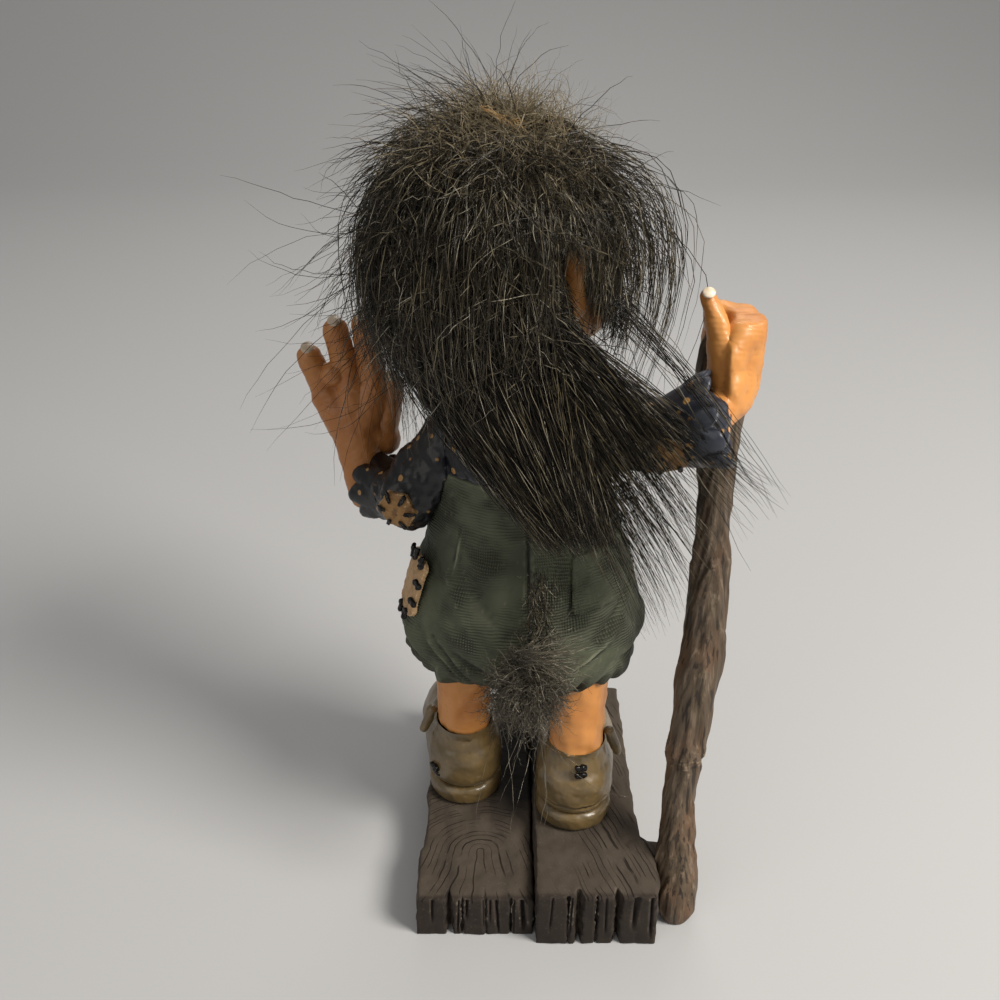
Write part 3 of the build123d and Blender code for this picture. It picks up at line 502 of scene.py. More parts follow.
outer = np.clip(np.hypot(normals[:, 0], normals[:, 1]) * 2 - 0.4, 0, 1)
moved = points + normals * (depth * outer)[:, None]
left_hem = np.clip((middle[0] + 1.0 - points[:, 0]) / 4.0, 0, 1) * np.clip(1 - rise / 9.0, 0, 1)
moved[:, 2] += HEM_LIFT * left_hem
at_left = step(middle[0] - points[:, 0], 10, 18)
moved[:, 0] += at_left * (HIP_TUCK * hump(rise - 7.5, 3.2) + WAIST_TUCK * hump(rise - 27, 6.5))
moved[:, 0] -= HEM_FLARE * step(middle[0] - points[:, 0], 8, 14) * step(rise, 4.5, 1.5)
carve(trousers, moved, 4)
cloth, shader, place, relief = paint("trouser_green", 0.66, 0.35)
around = place.math("ARCTAN2", place.axis(0) - float(middle[0]), float(middle[1]) - place.axis(1))
# The threads' pitch, the seat's radius, and a darned spot on the seat: its place across and up, its radius.
THREAD_PITCH = 0.54
WEAVE = 2 * pi / THREAD_PITCH
SEAT_RADIUS = 20.0
DARN = (2.4, 72.6)
DARN_RADIUS = 3.8
slack = place.noise(9.0, 2.0)
weft = place.math("SINE", (place.axis(2) + slack * 2.2) * WEAVE)
warp = place.math("SINE", (around * SEAT_RADIUS + slack * 1.6) * WEAVE)
worn = place.noise(7.0, 2.0)
darn_x, darn_z = place.axis(0) - DARN[0], place.axis(2) - DARN[1]
darn = place.math("SQRT", darn_x * darn_x + darn_z * darn_z).ramp(DARN_RADIUS, 0.7 * DARN_RADIUS)
weave = weft * worn.ramp(0.34, 0.58) * 0.65 + warp * worn.ramp(0.50, 0.64) * 0.55
weave = weave + darn * (weft + warp) * 0.45
cloud = place.noise(7.0, 4.0)
broad = place.noise(15.0, 2.0)
colour = wash(relief, 0.16, (0.005, 0.006, 0.004, 1), (0.074, 0.082, 0.051, 1), (0.19, 0.20, 0.135, 1))
colour = (cloud.ramp(0.40, 0.62) * 0.85).mix(colour, (0.028, 0.031, 0.018, 1))
colour = (broad.ramp(0.54, 0.38) * 0.55).mix(colour, (0.016, 0.018, 0.011, 1))
colour = (broad.ramp(0.52, 0.68) * 0.65).mix(colour, (0.098, 0.108, 0.070, 1))
# Painted shade: the trousers darken toward their hems.
hem_shade = place.axis(2).ramp(float(low[2]) + 8.0, float(low[2]) + 2.0)
colour = (hem_shade * 0.55).mix(colour, (0.012, 0.013, 0.009, 1))
dust = place.stretch(1.0, 1.0, 0.4).noise(1.1, 4.0)
colour = (dust.ramp(0.62, 0.74) * 0.35).mix(colour, (0.17, 0.17, 0.12, 1))
colour = (weave.ramp(0.0, 0.9) * (0.34 + darn * 0.5)).mix(colour, (0.140, 0.150, 0.100, 1))
cover(shader, place, colour, normal=bump(place, weave * 0.6 + cloud * 1.6, 0.24))
dress(trousers, cloth)
pocket = recast("pocket_cast", "back_pocket", 0.16, 4)
points, normals = read(pocket)
low = box_mm("back_pocket")[0]
rim = np.minimum(points[:, 0] - low[0], points[:, 2] - low[2])
depth = 0.10 * waves(points, 2.2, 113) + 0.22 * hump(rim - 0.5, 0.35)
carve(pocket, points + normals * depth[:, None], 3)
dress(pocket, cloth)


# Patches: thin tan scraps cast on the left hip and on both elbows, browner on the elbows, with black
# stitches round them. The hip patch follows the tucked hip: swung to the back, a little out and up.
PATCH_SWING = radians(8)
PATCH_OUT = 1.02
PATCH_RISE = 1.8
ELBOWS_ABOVE = (66.0, 72.0)
waist_middle = middle


def swung(points):
    """Places on the hip, swung a little to the back and up."""
    out = (points - waist_middle) * (PATCH_OUT, PATCH_OUT, 1)
    across = out[:, 0] * np.cos(PATCH_SWING) - out[:, 1] * np.sin(PATCH_SWING)
    deep = out[:, 0] * np.sin(PATCH_SWING) + out[:, 1] * np.cos(PATCH_SWING)
    return waist_middle + np.column_stack([across + WAIST_TUCK, deep, out[:, 2] + PATCH_RISE])


tan, shader, place, relief = paint("patch_tan", 0.6, 0.4)
cloud = place.noise(1.6, 4.0)
on_elbow = place.axis(2).ramp(*ELBOWS_ABOVE)
plain = on_elbow.mix((0.47, 0.30, 0.155, 1), (0.29, 0.155, 0.052, 1))
colour = wash(relief, 0.05, (0.05, 0.026, 0.010, 1), plain, (0.56, 0.38, 0.21, 1))
stain = cloud.ramp(0.48, 0.72) * (0.35 + on_elbow * 0.55)
cover(shader, place, stain.mix(colour, (0.12, 0.056, 0.020, 1)), normal=bump(place, cloud, 0.10))
for node, seed in (("hip_patch", 120), ("elbow_patch_left", 121), ("elbow_patch_right", 122)):
    patch = recast(f"{node}_cast", node, 0.14, 5)
    points, normals = read(patch)
    points = swung(points) if node == "hip_patch" else points
    carve(patch, points + normals * (0.05 + 0.09 * waves(points, 1.8, seed))[:, None], 3)
    dress(patch, tan)
for node, seed in (("hip_patch_stitches", 123), ("elbow_stitches_left", 124), ("elbow_stitches_right", 125)):
    stitches = recast(f"{node}_cast", node, 0.1, 8)
    points, normals = read(stitches)
    on_hip = node == "hip_patch_stitches"
    points = swung(points) if on_hip else points
    depth = (0.10 if on_hip else -0.14) + 0.12 * waves(points, 1.4, seed)
    carve(stitches, points + normals * depth[:, None], 2)
    dress(stitches, thread)


# Shirt: a black-navy shirt with small tan dots brushed on, cast as a torso and two sleeves in soft folds.
# The left sleeve gets painted shade, and the right one is painted lighter and a little bluer.
LEFT_SLEEVE_SHADE = (-13.0, -20.0)
RIGHT_SLEEVE = (14.0, 20.0)
shirt, shader, place, relief = paint("shirt_navy", 0.34, 0.4, 0.10)
DOT_CELL = 3.1
DOT_RADIUS = 0.20
cell = {"Vector": place, "Scale": 1 / DOT_CELL, "Randomness": 0.75}
dot = place.node("TexVoronoi", {"feature": "F1"}, cell, "Distance")
dab = place.noise(0.8, 2.0) * 0.1
cloud = place.noise(3.0, 4.0)
colour = wash(relief, 0.12, (0.001, 0.001, 0.002, 1), (0.0055, 0.006, 0.010, 1), (0.028, 0.031, 0.045, 1))
colour = (cloud.ramp(0.56, 0.76) * 0.4).mix(colour, (0.022, 0.023, 0.029, 1))
# Painted shade: the left sleeve is darkened almost to black.
colour = (place.axis(0).ramp(*LEFT_SLEEVE_SHADE) * 0.85).mix(colour, (0.001, 0.001, 0.002, 1))
colour = (place.axis(0).ramp(*RIGHT_SLEEVE) * 0.6).mix(colour, (0.034, 0.040, 0.056, 1))
spot = (dot + dab).ramp(DOT_RADIUS + 0.06, DOT_RADIUS) * place.noise(2.0, 2.0).ramp(0.36, 0.48)
colour = spot.mix(colour, (0.36, 0.195, 0.060, 1))
cover(shader, place, colour, rough=0.26 + cloud * 0.22, normal=bump(place, cloud + spot * 0.4, 0.18))
for number, node in enumerate(("shirt_torso", "sleeve_left", "sleeve_right")):
    piece = recast(f"{node}_cast", node, 0.3, 8)
    points, normals = read(piece)
    depth = 0.12 + 0.08 * waves(points, 2.2, 130 + number) + 0.32 * waves(points, 5.5, 135 + number, 2)
    carve(piece, points + normals * depth[:, None], 4)
    dress(piece, shirt)

# Cuffs: cups that flare from the sleeve to a rim of round lobes, cast and painted with the sleeve.
# Each as start, end, narrow and wide radius and lobes. The rim turns in by steps along and inward.
CUFFS = {
    "left": ((-23.4, 1.0, 78.3), (-27.6, 7.3, 76.0), 4.9, 5.7, 8),
    "right": ((19.6, -10.3, 95.2), (28.2, -11.5, 98.4), 5.6, 7.3, 9),
}
CUFF_STEPS = (108, 16)
CUFF_WALL = 1.1
CUFF_RIM = ((0.25, 0.35), (0.1, 0.8), (-0.5, CUFF_WALL), (-3.0, CUFF_WALL + 0.8))
for side, (start, end, narrow, wide, lobes) in CUFFS.items():
    start, end = np.array(start), np.array(end)
    axis = unit(end - start)
    aside = unit(np.cross(axis, (0, 0, 1)))
    turns = np.linspace(0, 2 * pi, CUFF_STEPS[0], endpoint=False)
    turn, share = np.meshgrid(turns, np.linspace(0, 1, CUFF_STEPS[1]), indexing="ij")
    lobe = np.abs(np.cos(turn * lobes / 2)) ** 0.7
    length = np.linalg.norm(end - start) * (0.86 + 0.14 * lobe)
    flare = narrow + (wide - narrow) * step(share, 0.0, 0.9) + (1.3 * lobe - 0.6) * step(share, 0.35, 1.0)
    rows = [(length * share, flare)]
    for ahead, sunk in CUFF_RIM + ((-5.0, narrow - 1.0),):
        rows.append((rows[0][0][:, -1:] + ahead, rows[0][1][:, -1:] - sunk))
    along, radius = np.hstack([row[0] for row in rows]), np.hstack([row[1] for row in rows])
    turn = turn[:, :1]
    outward = np.cos(turn)[..., None] * aside + np.sin(turn)[..., None] * np.cross(axis, aside)
    points = start + along[..., None] * axis + radius[..., None] * outward
    index = np.arange(along.size).reshape(along.shape)
    there = np.roll(index, -1, axis=0)
    faces = np.stack([index[:, :-1], there[:, :-1], there[:, 1:], index[:, 1:]], axis=-1).reshape(-1, 4)
    mesh = bpy.data.meshes.new(f"cuff_{side}_cast")
    mesh.from_pydata((points.reshape(-1, 3) * MM).tolist(), [], faces.tolist())
    mesh.polygons.foreach_set("use_smooth", np.ones(len(faces), bool))
    cuff = new_object(mesh.name, mesh)
    points, normals = read(cuff)
    carve(cuff, points + normals * (0.08 * waves(points, 2.5, 138))[:, None], 3)
    dress(cuff, shirt)
    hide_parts(f"cuff_{side}")
    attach(cuff, "figure")


# Hands: cast hands with a few fingers, creased at the knuckles, painted as the legs are.
# The left is raised and open; the right closes round the staff with its thumb up. Nails are ivory.
nail_paint, shader, place, _ = paint("nail_ivory", 0.3, 0.5, 0.2)
colour = place.noise(1.2).ramp(0.35, 0.75).mix((0.78, 0.68, 0.55, 1), (0.55, 0.42, 0.28, 1))
# Painted shade: the left hand's nails are darkened.
colour = (place.axis(0).ramp(*LEFT_HAND_SHADE) * 0.5).mix(colour, (0.26, 0.17, 0.10, 1))
cover(shader, place, colour)
# Middles of the left knuckles, and balls that fill out the hands, each as middle and radius.
KNUCKLES_LEFT = ((-36.0, 12.0, 91.5), (-32.2, 12.0, 93.5), (-28.4, 12.0, 93.5))
FILLS = {
    "left": (((-35.3, 12.2, 95.6), 2.0),),
    "right": (
        ((29.4, -6.0, 106.2), 3.0), ((30.4, -7.0, 101.6), 3.6), ((31.6, -4.6, 108.4), 3.1),
        ((34.2, -2.6, 109.9), 2.4), ((34.4, -2.8, 102.6), 2.4), ((34.4, -2.8, 106.2), 2.3),
    ),
}
FIST_EDGE = 28.0
FIST_REACH = 35.0
FIST_TOP = 111.4
for number, side in enumerate(("left", "right")):
    hand = recast(f"hand_{side}_cast", f"hand_{side}", 0.24, 20 if side == "left" else 40, blobs=FILLS[side])
    points, normals = read(hand)
    depth = 0.30 + 0.15 * number + 0.12 * waves(points, 4.0, 140 + number)
    moved = points.copy()
    if side == "left":
        for x, y, z in KNUCKLES_LEFT:
            across = np.hypot(points[:, 0] - x, points[:, 1] - y + 4) / 2.2
            for rise in (-0.5, 0.4):
                depth -= 0.16 * hump(points[:, 2] - z - rise, 0.22) * np.clip(1.5 - across, 0, 1)
    else:
        # The fist is flattened at its near side, outer edge and top; far fingers and thumb are drawn in.
        behind = step(points[:, 1], -4.0, -1.8) * step(points[:, 2], 113.5, 110.5)
        moved[:, 0] -= np.minimum(points[:, 0] - FIST_EDGE, 0) * 0.75 * behind
        moved[:, 0] += 1.9 * (1 - behind) * step(points[:, 0], 30, 26.5) * step(points[:, 2], 116.5, 110)
        depth -= 0.75 * step(points[:, 2], 110.5, 115) * (1 - behind)
        plane = -7.0 + 0.72 * (points[:, 0] - 31)
        flat = step(points[:, 0], 30, 32.5) * step(-normals[:, 1], -0.2, 0.5) * step(points[:, 2], 98, 103)
        moved[:, 1] += 0.6 * flat * (plane - points[:, 1])
        past = np.tanh(moved[:, 0] - FIST_REACH)
        moved[:, 0] = np.minimum(moved[:, 0], FIST_REACH + 0.25 * past)
        moved[:, 2] -= 0.8 * step(points[:, 0], 29.5, 31) * np.maximum(points[:, 2] - FIST_TOP, 0)
        moved = settle(hand, moved, 24)
    carve(hand, moved + normals * depth[:, None], 8)
    dress(hand, skin)
# Gaps between the left nails, a nail's step from the middle of its fingertip and its tilt over the tip,
# and the share of its size that the right thumb's nail keeps.
NAIL_BREAKS = (-36.7, -31.7, -27.0)
FINGERTIP = 2.1
NAIL_TILT = radians(36)
THUMBNAIL_SHARE = (0.76, 0.74, 0.60)
for node in ("fingernails_left", "thumbnail_right"):
    nails = recast(f"{node}_cast", node, 0.1, 4)
    points, normals = read(nails)
    if node == "thumbnail_right":
        points = points.mean(0) + (points - points.mean(0)) * THUMBNAIL_SHARE
    else:
        finger = np.digitize(points[:, 0], NAIL_BREAKS)
        for mine in (finger == number for number in range(len(NAIL_BREAKS) + 1)):
            pivot = points[mine].mean(0) + FINGERTIP * np.array((0, 0.8, -0.6))
            across, deep, rise = ((points[mine] - pivot) * (0.85, 1, 1)).T
            tipped = np.cos(NAIL_TILT) * deep + np.sin(NAIL_TILT) * rise
            raised = np.cos(NAIL_TILT) * rise - np.sin(NAIL_TILT) * deep
            points[mine] = pivot + np.column_stack([across, tipped, raised])
    carve(nails, points + normals * 0.1, 2)
    dress(nails, nail_paint)


# Head: one casting with the neck plug, turned to the figure's right. The photo shows an ear and a cheek
# only, so the face is a plain calm one: heavy brow, round nose, soft cheeks and a quiet mouth.
# Places on the face are steps aside, forward and up from the neck joint.
TURN = radians(-50)
EAR_OUT, EAR_UP = 15.5, 22.4
EYE_OUT, EYE_UP = 4.9, 21.0
NOSE_UP = 16.5
JOWLS_UP = 10.0
MOUTH_UP = 8.6
WRINKLES_UP = (28.6, 30.4)


def joint_place(name):
    """A place on a joint's axis, in metres."""
    return np.array(next(joint for joint in frame["joints"] if joint["name"] == name)["pos_m"])


neck = joint_place("head_turn") / MM
to_side = np.array((np.cos(TURN), np.sin(TURN), 0))
to_face = np.array((-np.sin(TURN), np.cos(TURN), 0))
head = recast("head_cast", "head", 0.38, 9, "head")
points, normals = read(head)
side, front, up = (points - neck) @ to_side, (points - neck) @ to_face, points[:, 2] - neck[2]
face = np.clip((front - 5) / 3, 0, 1)
depth = 0.1 + 0.16 * waves(points, 5.0, 150, 2)
depth += 2.4 * hump(np.hypot(side, up - NOSE_UP), 4.5) * step(front, 13, 19)
depth += 2.4 * hump(up - JOWLS_UP, 5.0) * step(np.abs(side), 5, 10) * step(front, -6, 2)
mouth = up - MOUTH_UP - 0.035 * side ** 2
depth -= face * 0.75 * hump(mouth, 0.42) * np.clip((6.6 - np.abs(side)) / 2, 0, 1)
depth += face * 0.45 * hump(mouth + 1.6, 1.0) * np.clip((5.4 - np.abs(side)) / 2, 0, 1)
for x in (-1, 1):
    depth -= 1.0 * hump(np.hypot(side - 1.7 * x, up - 13.2), 0.8) * (front > 14)
    around_eye = np.hypot(side - EYE_OUT * x, up - EYE_UP)
    depth += face * 0.5 * hump(around_eye - 3.0, 0.7) * (up < EYE_UP)
    fold = side * x - 4.6 - 0.5 * (14.5 - up)
    depth -= face * 0.35 * hump(fold, 0.45) * np.clip((15.5 - up) / 2, 0, 1) * np.clip((up - 8.5) / 2, 0, 1)
for rise in WRINKLES_UP:
    wrinkle = hump(up - rise - 0.3 * np.cos(side * 0.5), 0.3)
    depth -= face * 0.22 * wrinkle * np.clip((7 - np.abs(side)) / 2, 0, 1)
ear = np.hypot((np.abs(side) - EAR_OUT) / 3.0, (up - EAR_UP) / 6.0)
depth -= 0.9 * hump(ear, 0.5) * (np.abs(side) > 14) * (normals @ to_face > 0)
carve(head, points + normals * depth[:, None], 5)
dress(head, skin)

# Eyes: two balls set into the face, painted with a brown iris and a black pupil, and glazed.
# The CAD balls stay as they are and get this paint.
for name in ("eye_left", "eye_right"):
    eye_paint, shader, place, _ = paint(f"{name}_gloss", 0.08, 0.6, 0.6)
    low, high = box_mm(name)
    centre = (low + high) / 2 + to_face * (high - low)[2] / 2
    off = place.node("VectorMath", {"operation": "DISTANCE"}, {0: place, 1: tuple(centre)}, "Value")
    iris = place.noise(0.3, 3.0).mix((0.07, 0.032, 0.012, 1), (0.16, 0.08, 0.03, 1))
    white = off.ramp(1.30, 1.42).mix(iris, (0.70, 0.64, 0.52, 1))
    cover(shader, place, off.ramp(0.68, 0.76).mix((0.004, 0.004, 0.004, 1), white))
    eye = frame["nodes"][name]
    eye.data.materials.clear()
    eye.data.materials.append(eye_paint)


# Hair: a scrap of long-haired pelt glued over the scalp, its tan skin showing at a seam on the crown.
# The fur falls from the crown all round, frizzes on top, leaves the ear bare and sweeps to the right behind.
KINK = 0.13
TIP_TAPER = 0.8
PALE_FINER = 0.45
# How the painted glints are stretched across the hairs' shades and along each hair.
GLINT_LENGTHS = (300.0, 7.5, 0.0)
TILTED = (0.31, 0.52, 0.79)
# Hairs keep to the CAD box with 9 mm and 3% of each side around it, and off the table.
PROUD = 9.0 + 0.03 * (np.array(cad_high) - cad_low) / MM
ROOM = np.array((cad_low, cad_high)) / MM + np.outer((-1, 1), PROUD)
ROOM[0][2] = 0.3


def strands(name, paths, thick, shade, material):
    """Hairs as thin three-sided tubes along paths; a hair's shade and the place along it set its colour."""
    count, steps = paths.shape[:2]
    share = np.linspace(0, 1, steps)
    kinks = np.random.default_rng(count).normal(0, KINK, paths.shape)
    paths = np.clip(paths + kinks * np.sqrt(share)[:, None], ROOM[0], ROOM[1])
    tangent = unit(np.gradient(paths, axis=1))
    aside = unit(np.cross(tangent, TILTED))
    across = np.cross(tangent, aside)
    thick = thick * (1 - PALE_FINER * step(shade, 0.93, 0.97))
    girth = (thick[:, None] * (1 - TIP_TAPER * share ** 3))[:, :, None]
    corners = [paths + girth * (np.cos(a) * aside + np.sin(a) * across) for a in (0, 2 * pi / 3, 4 * pi / 3)]
    points = np.stack(corners, axis=2)
    index = np.arange(count * steps * 3).reshape(count, steps, 3)
    here, there = index[:, :-1], index[:, 1:]
    quads = np.stack([here, np.roll(here, -1, 2), np.roll(there, -1, 2), there], axis=3).reshape(-1, 4)
    mesh = bpy.data.meshes.new(name)
    mesh.vertices.add(points.size // 3)
    mesh.vertices.foreach_set("co", (points * MM).ravel())
    mesh.loops.add(quads.size)
    mesh.loops.foreach_set("vertex_index", quads.ravel())
    mesh.polygons.add(len(quads))
    mesh.polygons.foreach_set("loop_start", np.arange(len(quads)) * 4)
    mesh.polygons.foreach_set("use_smooth", np.ones(len(quads), bool))
    layer = mesh.uv_layers.new(name="OFBake")
    shades = np.broadcast_to(shade[:, None, None], points.shape[:3])
    shares = np.broadcast_to(share[None, :, None], points.shape[:3])
    places = np.stack([shades, shares], axis=-1).reshape(-1, 2)
    layer.data.foreach_set("uv", places[quads.ravel()].ravel())
    mesh.update(calc_edges=True)
    piece = new_object(name, mesh)
    dress(piece, material)
    return piece


def fur(name, deep, dark, plain, pale):
    """Fur colours: dark, plain and a few pale hairs, shown in short painted glints, with painted shade at the
    root.
    """
    made, shader, place, _ = paint(name, 0.19, 0.38)
    hair = place.node("UVMap", {"uv_map": "OFBake"}, {})
    shade, along = hair.axis(0), hair.axis(1)
    colour = shade.ramp(0.40, 0.92).mix(dark, plain)
    colour = shade.ramp(0.90, 0.97).mix(colour, pale)
    # Painted glints: the plain and pale colours show only in short lengths of each hair, the rest is dark.
    painted_glint = hair.stretch(*GLINT_LENGTHS).noise(1.0, 0.0)
    colour = painted_glint.ramp(0.38, 0.62).mix(dark, colour)
    # Painted shade: the root half of each hair darkens to the deep colour.
    cover(shader, place, along.ramp(0.0, 0.5).mix(deep, colour))
    return made


def curl(draw, starts, along, toward, lengths, bends, steps):
    """Hairs that leave along one way and bend toward another, as arcs of a drawn length and angle."""
    share = np.linspace(0, 1, steps)[None, :, None]
    toward = unit(toward - along * (along * toward).sum(1, keepdims=True))
    length = draw.uniform(*lengths, len(starts))
    bend = np.maximum(draw.uniform(*bends, len(starts)), 0.05)[:, None, None]
    reach = length[:, None, None] / bend
    ahead, aside = np.sin(bend * share), 1 - np.cos(bend * share)
    return starts[:, None] + reach * (ahead * along[:, None] + aside * toward[:, None])


cap_low, cap_high = box_mm("hair_cap")
CAP_RADIUS = (cap_high[1] - cap_low[1]) / 2
CAP_QUARTER = CAP_RADIUS * pi / 2
HEM_RADIUS = 19.0
SKIRT = cap_high[2] - CAP_RADIUS - cap_low[2]
FACE_AT = 130.0
# The hair is fuller by so much at the back and at the front left.
SWELL = 2.2


def off_face(bearing):
    """How many degrees a bearing lies from the middle of the face."""
    return np.abs((bearing - FACE_AT + 180) % 360 - 180)


def on_cap(bearing, fall, lift):
    """A place on the hair's outside: its bearing from the back to the right, its way down and its lift."""
    at_back = step(bearing, -85, -50) * step(bearing, 32, 10)
    at_front = step(-np.cos(np.radians(bearing)), 0.30, 0.70) * step(off_face(bearing), 45, 70)
    lift = lift + SWELL * np.maximum(at_back, at_front) * step(fall, 6, 20)
    over = np.minimum(fall, CAP_QUARTER) / CAP_RADIUS
    below = np.maximum(fall - CAP_QUARTER, 0)
    tuck = (CAP_RADIUS - HEM_RADIUS) * np.clip(below / SKIRT, 0, 1) ** 2
    out = CAP_RADIUS * np.sin(over) - tuck + lift * np.sin(over)
    height = cap_high[2] - CAP_RADIUS + (CAP_RADIUS + lift) * np.cos(over) - below
    turn = np.radians(bearing)
    return np.stack([neck[0] + out * np.sin(turn), neck[1] - out * np.cos(turn), height], axis=-1)


def ways(bearing, fall):
    """Unit steps off the hair's outside and down along it."""
    here = on_cap(bearing, fall, 0.0)
    return unit(on_cap(bearing, fall, 1.0) - here), unit(on_cap(bearing, fall + 1.0, 0.0) - here)


def pelt_lift(fall):
    """How far the pelt lies under the hair's outside."""
    return -4.2 - 2.4 * step(fall, 4, 24)


chance = np.random.default_rng(7)
hair = fur(
    "hair",
    (0.004, 0.003, 0.002, 1), (0.007, 0.005, 0.003, 1), (0.135, 0.110, 0.064, 1), (0.56, 0.51, 0.39, 1),
)

# Pelt: the skin under the fur, cut away round the face and the ear.
# It is dark and fibrous, is glued to the head and stands for the CAD hair cap.
PELT_STEPS = (120, 44)
around, downward = np.linspace(-180, 180, PELT_STEPS[0]), np.linspace(0.2, 52, PELT_STEPS[1])
bearings, falls = np.meshgrid(around, downward, indexing="ij")
edge = 27 + 29 * step(off_face(bearings), 92, 99)
tucked = 2.0 * step(falls, edge - 9, edge)
pelt_points = on_cap(bearings, np.minimum(falls, edge), pelt_lift(falls) - tucked).reshape(-1, 3)
index = np.arange(len(pelt_points)).reshape(PELT_STEPS)
corners = [index[:-1, :-1], index[1:, :-1], index[1:, 1:], index[:-1, 1:]]
pelt_faces = np.stack(corners, axis=-1).reshape(-1, 4)
mesh = bpy.data.meshes.new("pelt")
mesh.from_pydata((pelt_points * MM).tolist(), [], pelt_faces.tolist())
pelt = new_object("pelt", mesh)
pelt_paint, shader, place, _ = paint("pelt", 0.8, 0.2)
fibre = place.stretch(1.0, 1.0, 0.15).noise(0.4, 3.0)
colour = fibre.ramp(0.4, 0.7).mix((0.008, 0.007, 0.005, 1), (0.022, 0.018, 0.013, 1))
cover(shader, place, colour, normal=bump(place, fibre, 0.4))
dress(pelt, pelt_paint)
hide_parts("hair_cap")
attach(pelt, "head")

# Where hairs part, seen from behind and above: round the ear, over the cheek, beside it and over the elbow.
# Each as steps right and up from the ear, a radius, and the share of the hairs that stop there.
VIEWPOINT = np.array((-6.0, -158.0, 169.0))
EAR = neck + EAR_OUT * to_side + (0, 0, EAR_UP)
PARTINGS = (
    (-1.0, 3.0, 1.7, 0.95), (-0.1, 0.6, 2.0, 0.95), (0.9, -2.2, 1.9, 0.95), (2.5, -5.2, 2.5, 0.85),
    (4.1, -7.5, 2.2, 0.8), (5.7, -10.2, 2.0, 0.7), (9.8, -11.0, 2.6, 0.3), (7.6, 0.2, 1.2, 0.6),
    (14.4, -24.7, 3.0, 0.8), (6.9, -23.7, 1.8, 0.5),
)


def parted(paths):
    """Hairs cut short where they part, and which of them are long enough to keep."""
    view = unit(EAR - VIEWPOINT)
    aside = unit(np.cross(view, (0, 0, 1)))
    near = np.linalg.norm(EAR - VIEWPOINT) / ((paths - VIEWPOINT) @ view)
    right = (paths - VIEWPOINT) @ aside * near
    above = (paths - VIEWPOINT) @ np.cross(aside, view) * near
    inside = np.zeros(paths.shape[:2], bool)
    for x, y, radius, share in PARTINGS:
        spread = radius * chance.uniform(0.7, 1.15, (len(paths), 1))
        inside |= (np.hypot(right - x, above - y) < spread) & (chance.uniform(size=(len(paths), 1)) < share)
    last = np.where(inside.any(1), inside.argmax(1), paths.shape[1] - 1)
    at = np.linspace(0, 1, paths.shape[1]) * last[:, None]
    low = np.minimum(at.astype(int), paths.shape[1] - 2)
    row, part = np.arange(len(paths))[:, None], (at - low)[..., None]
    return paths[row, low] * (1 - part) + paths[row, low + 1] * part, last > 2


# Fall: the long outer fur, in clumps that hang from the crown all round and part at the ear.
FALL_PIECES = 4
FALL_COUNT = 2650
FALL_STEPS = 13
CLUMPS = 260
clump_bearing = chance.uniform(-180, 180, CLUMPS)
clump_root = 27 * chance.uniform(0, 1, CLUMPS) ** 0.8
clump_sway = chance.normal(0, 7.0, CLUMPS)
clump_layer = 2.8 * chance.uniform(0, 1, CLUMPS) ** 1.6
for number in range(FALL_PIECES):
    share = np.linspace(0, 1, FALL_STEPS)[None, :]
    clump = chance.integers(0, CLUMPS, FALL_COUNT)
    bearing = clump_bearing[clump] + chance.normal(0, 3.6, FALL_COUNT)
    root = np.clip(clump_root[clump] + chance.normal(0, 3.5, FALL_COUNT), 0, 34)
    length = chance.uniform(16, 38, FALL_COUNT)
    away = off_face(bearing)
    last = np.where(away < 52, chance.uniform(24, 31, FALL_COUNT), chance.uniform(44, 64, FALL_COUNT))
    root = np.minimum(root, last - 10)
    fall = root[:, None] + np.minimum(length, last - root)[:, None] * share
    stray = np.where(chance.uniform(size=FALL_COUNT) < 0.75, chance.normal(0, 14, FALL_COUNT), 0)
    aside = (clump_sway[clump] + chance.normal(0, 2.0, FALL_COUNT) + stray)[:, None] * share ** 1.3
    aside += chance.normal(0, 1.2, (FALL_COUNT, 1)) * np.sin(share * pi)
    ripple = share * chance.uniform(3, 8, (FALL_COUNT, 1)) + chance.uniform(0, 6, (FALL_COUNT, 1))
    aside += 0.4 * np.sin(ripple)
    back = step(np.cos(np.radians(bearing)), -0.2, 0.6)[:, None]
    aside += back * 9 * step(fall, 34, 62) * step(bearing, -80, -10)[:, None]
    path_bearing = bearing[:, None] + np.degrees(aside / 18)
    at_ear = path_bearing[np.arange(FALL_COUNT), np.argmin(np.abs(fall - 34), axis=1)][:, None]
    gap = step(at_ear, 28, 34) * step(at_ear, 52, 47) * step(fall, 22, 29) * (last > 34)[:, None]
    choice = chance.uniform(size=(FALL_COUNT, 1))
    behind_ear, past_ear = chance.uniform(14, 30, (FALL_COUNT, 1)), chance.uniform(55, 84, (FALL_COUNT, 1))
    goal = np.where(choice < 0.5, behind_ear, past_ear)
    path_bearing = path_bearing + gap * (choice < 0.7) * (goal - at_ear)
    layer = (clump_layer[clump] + 1.8 * chance.uniform(0, 1, FALL_COUNT) ** 2)[:, None]
    flares = chance.uniform(size=FALL_COUNT) < 0.15
    flare = np.where(flares, chance.uniform(0.5, 3.5, FALL_COUNT), 0.4)[:, None]
    lift = pelt_lift(fall) - 0.4 + layer * step(share, 0, 0.35) + flare * share ** 2.2
    paths, long = parted(on_cap(path_bearing, fall, lift))
    bare = ~long | (np.abs(at_ear[:, 0] - 92) < 30) & (last > 34) & (chance.uniform(size=FALL_COUNT) < 0.68)
    thick = chance.uniform(0.06, 0.105, FALL_COUNT)
    shade = chance.uniform(size=FALL_COUNT)
    piece = strands(f"hair_fall_{number + 1}", paths[~bare], thick[~bare], shade[~bare], hair)
    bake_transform(piece)

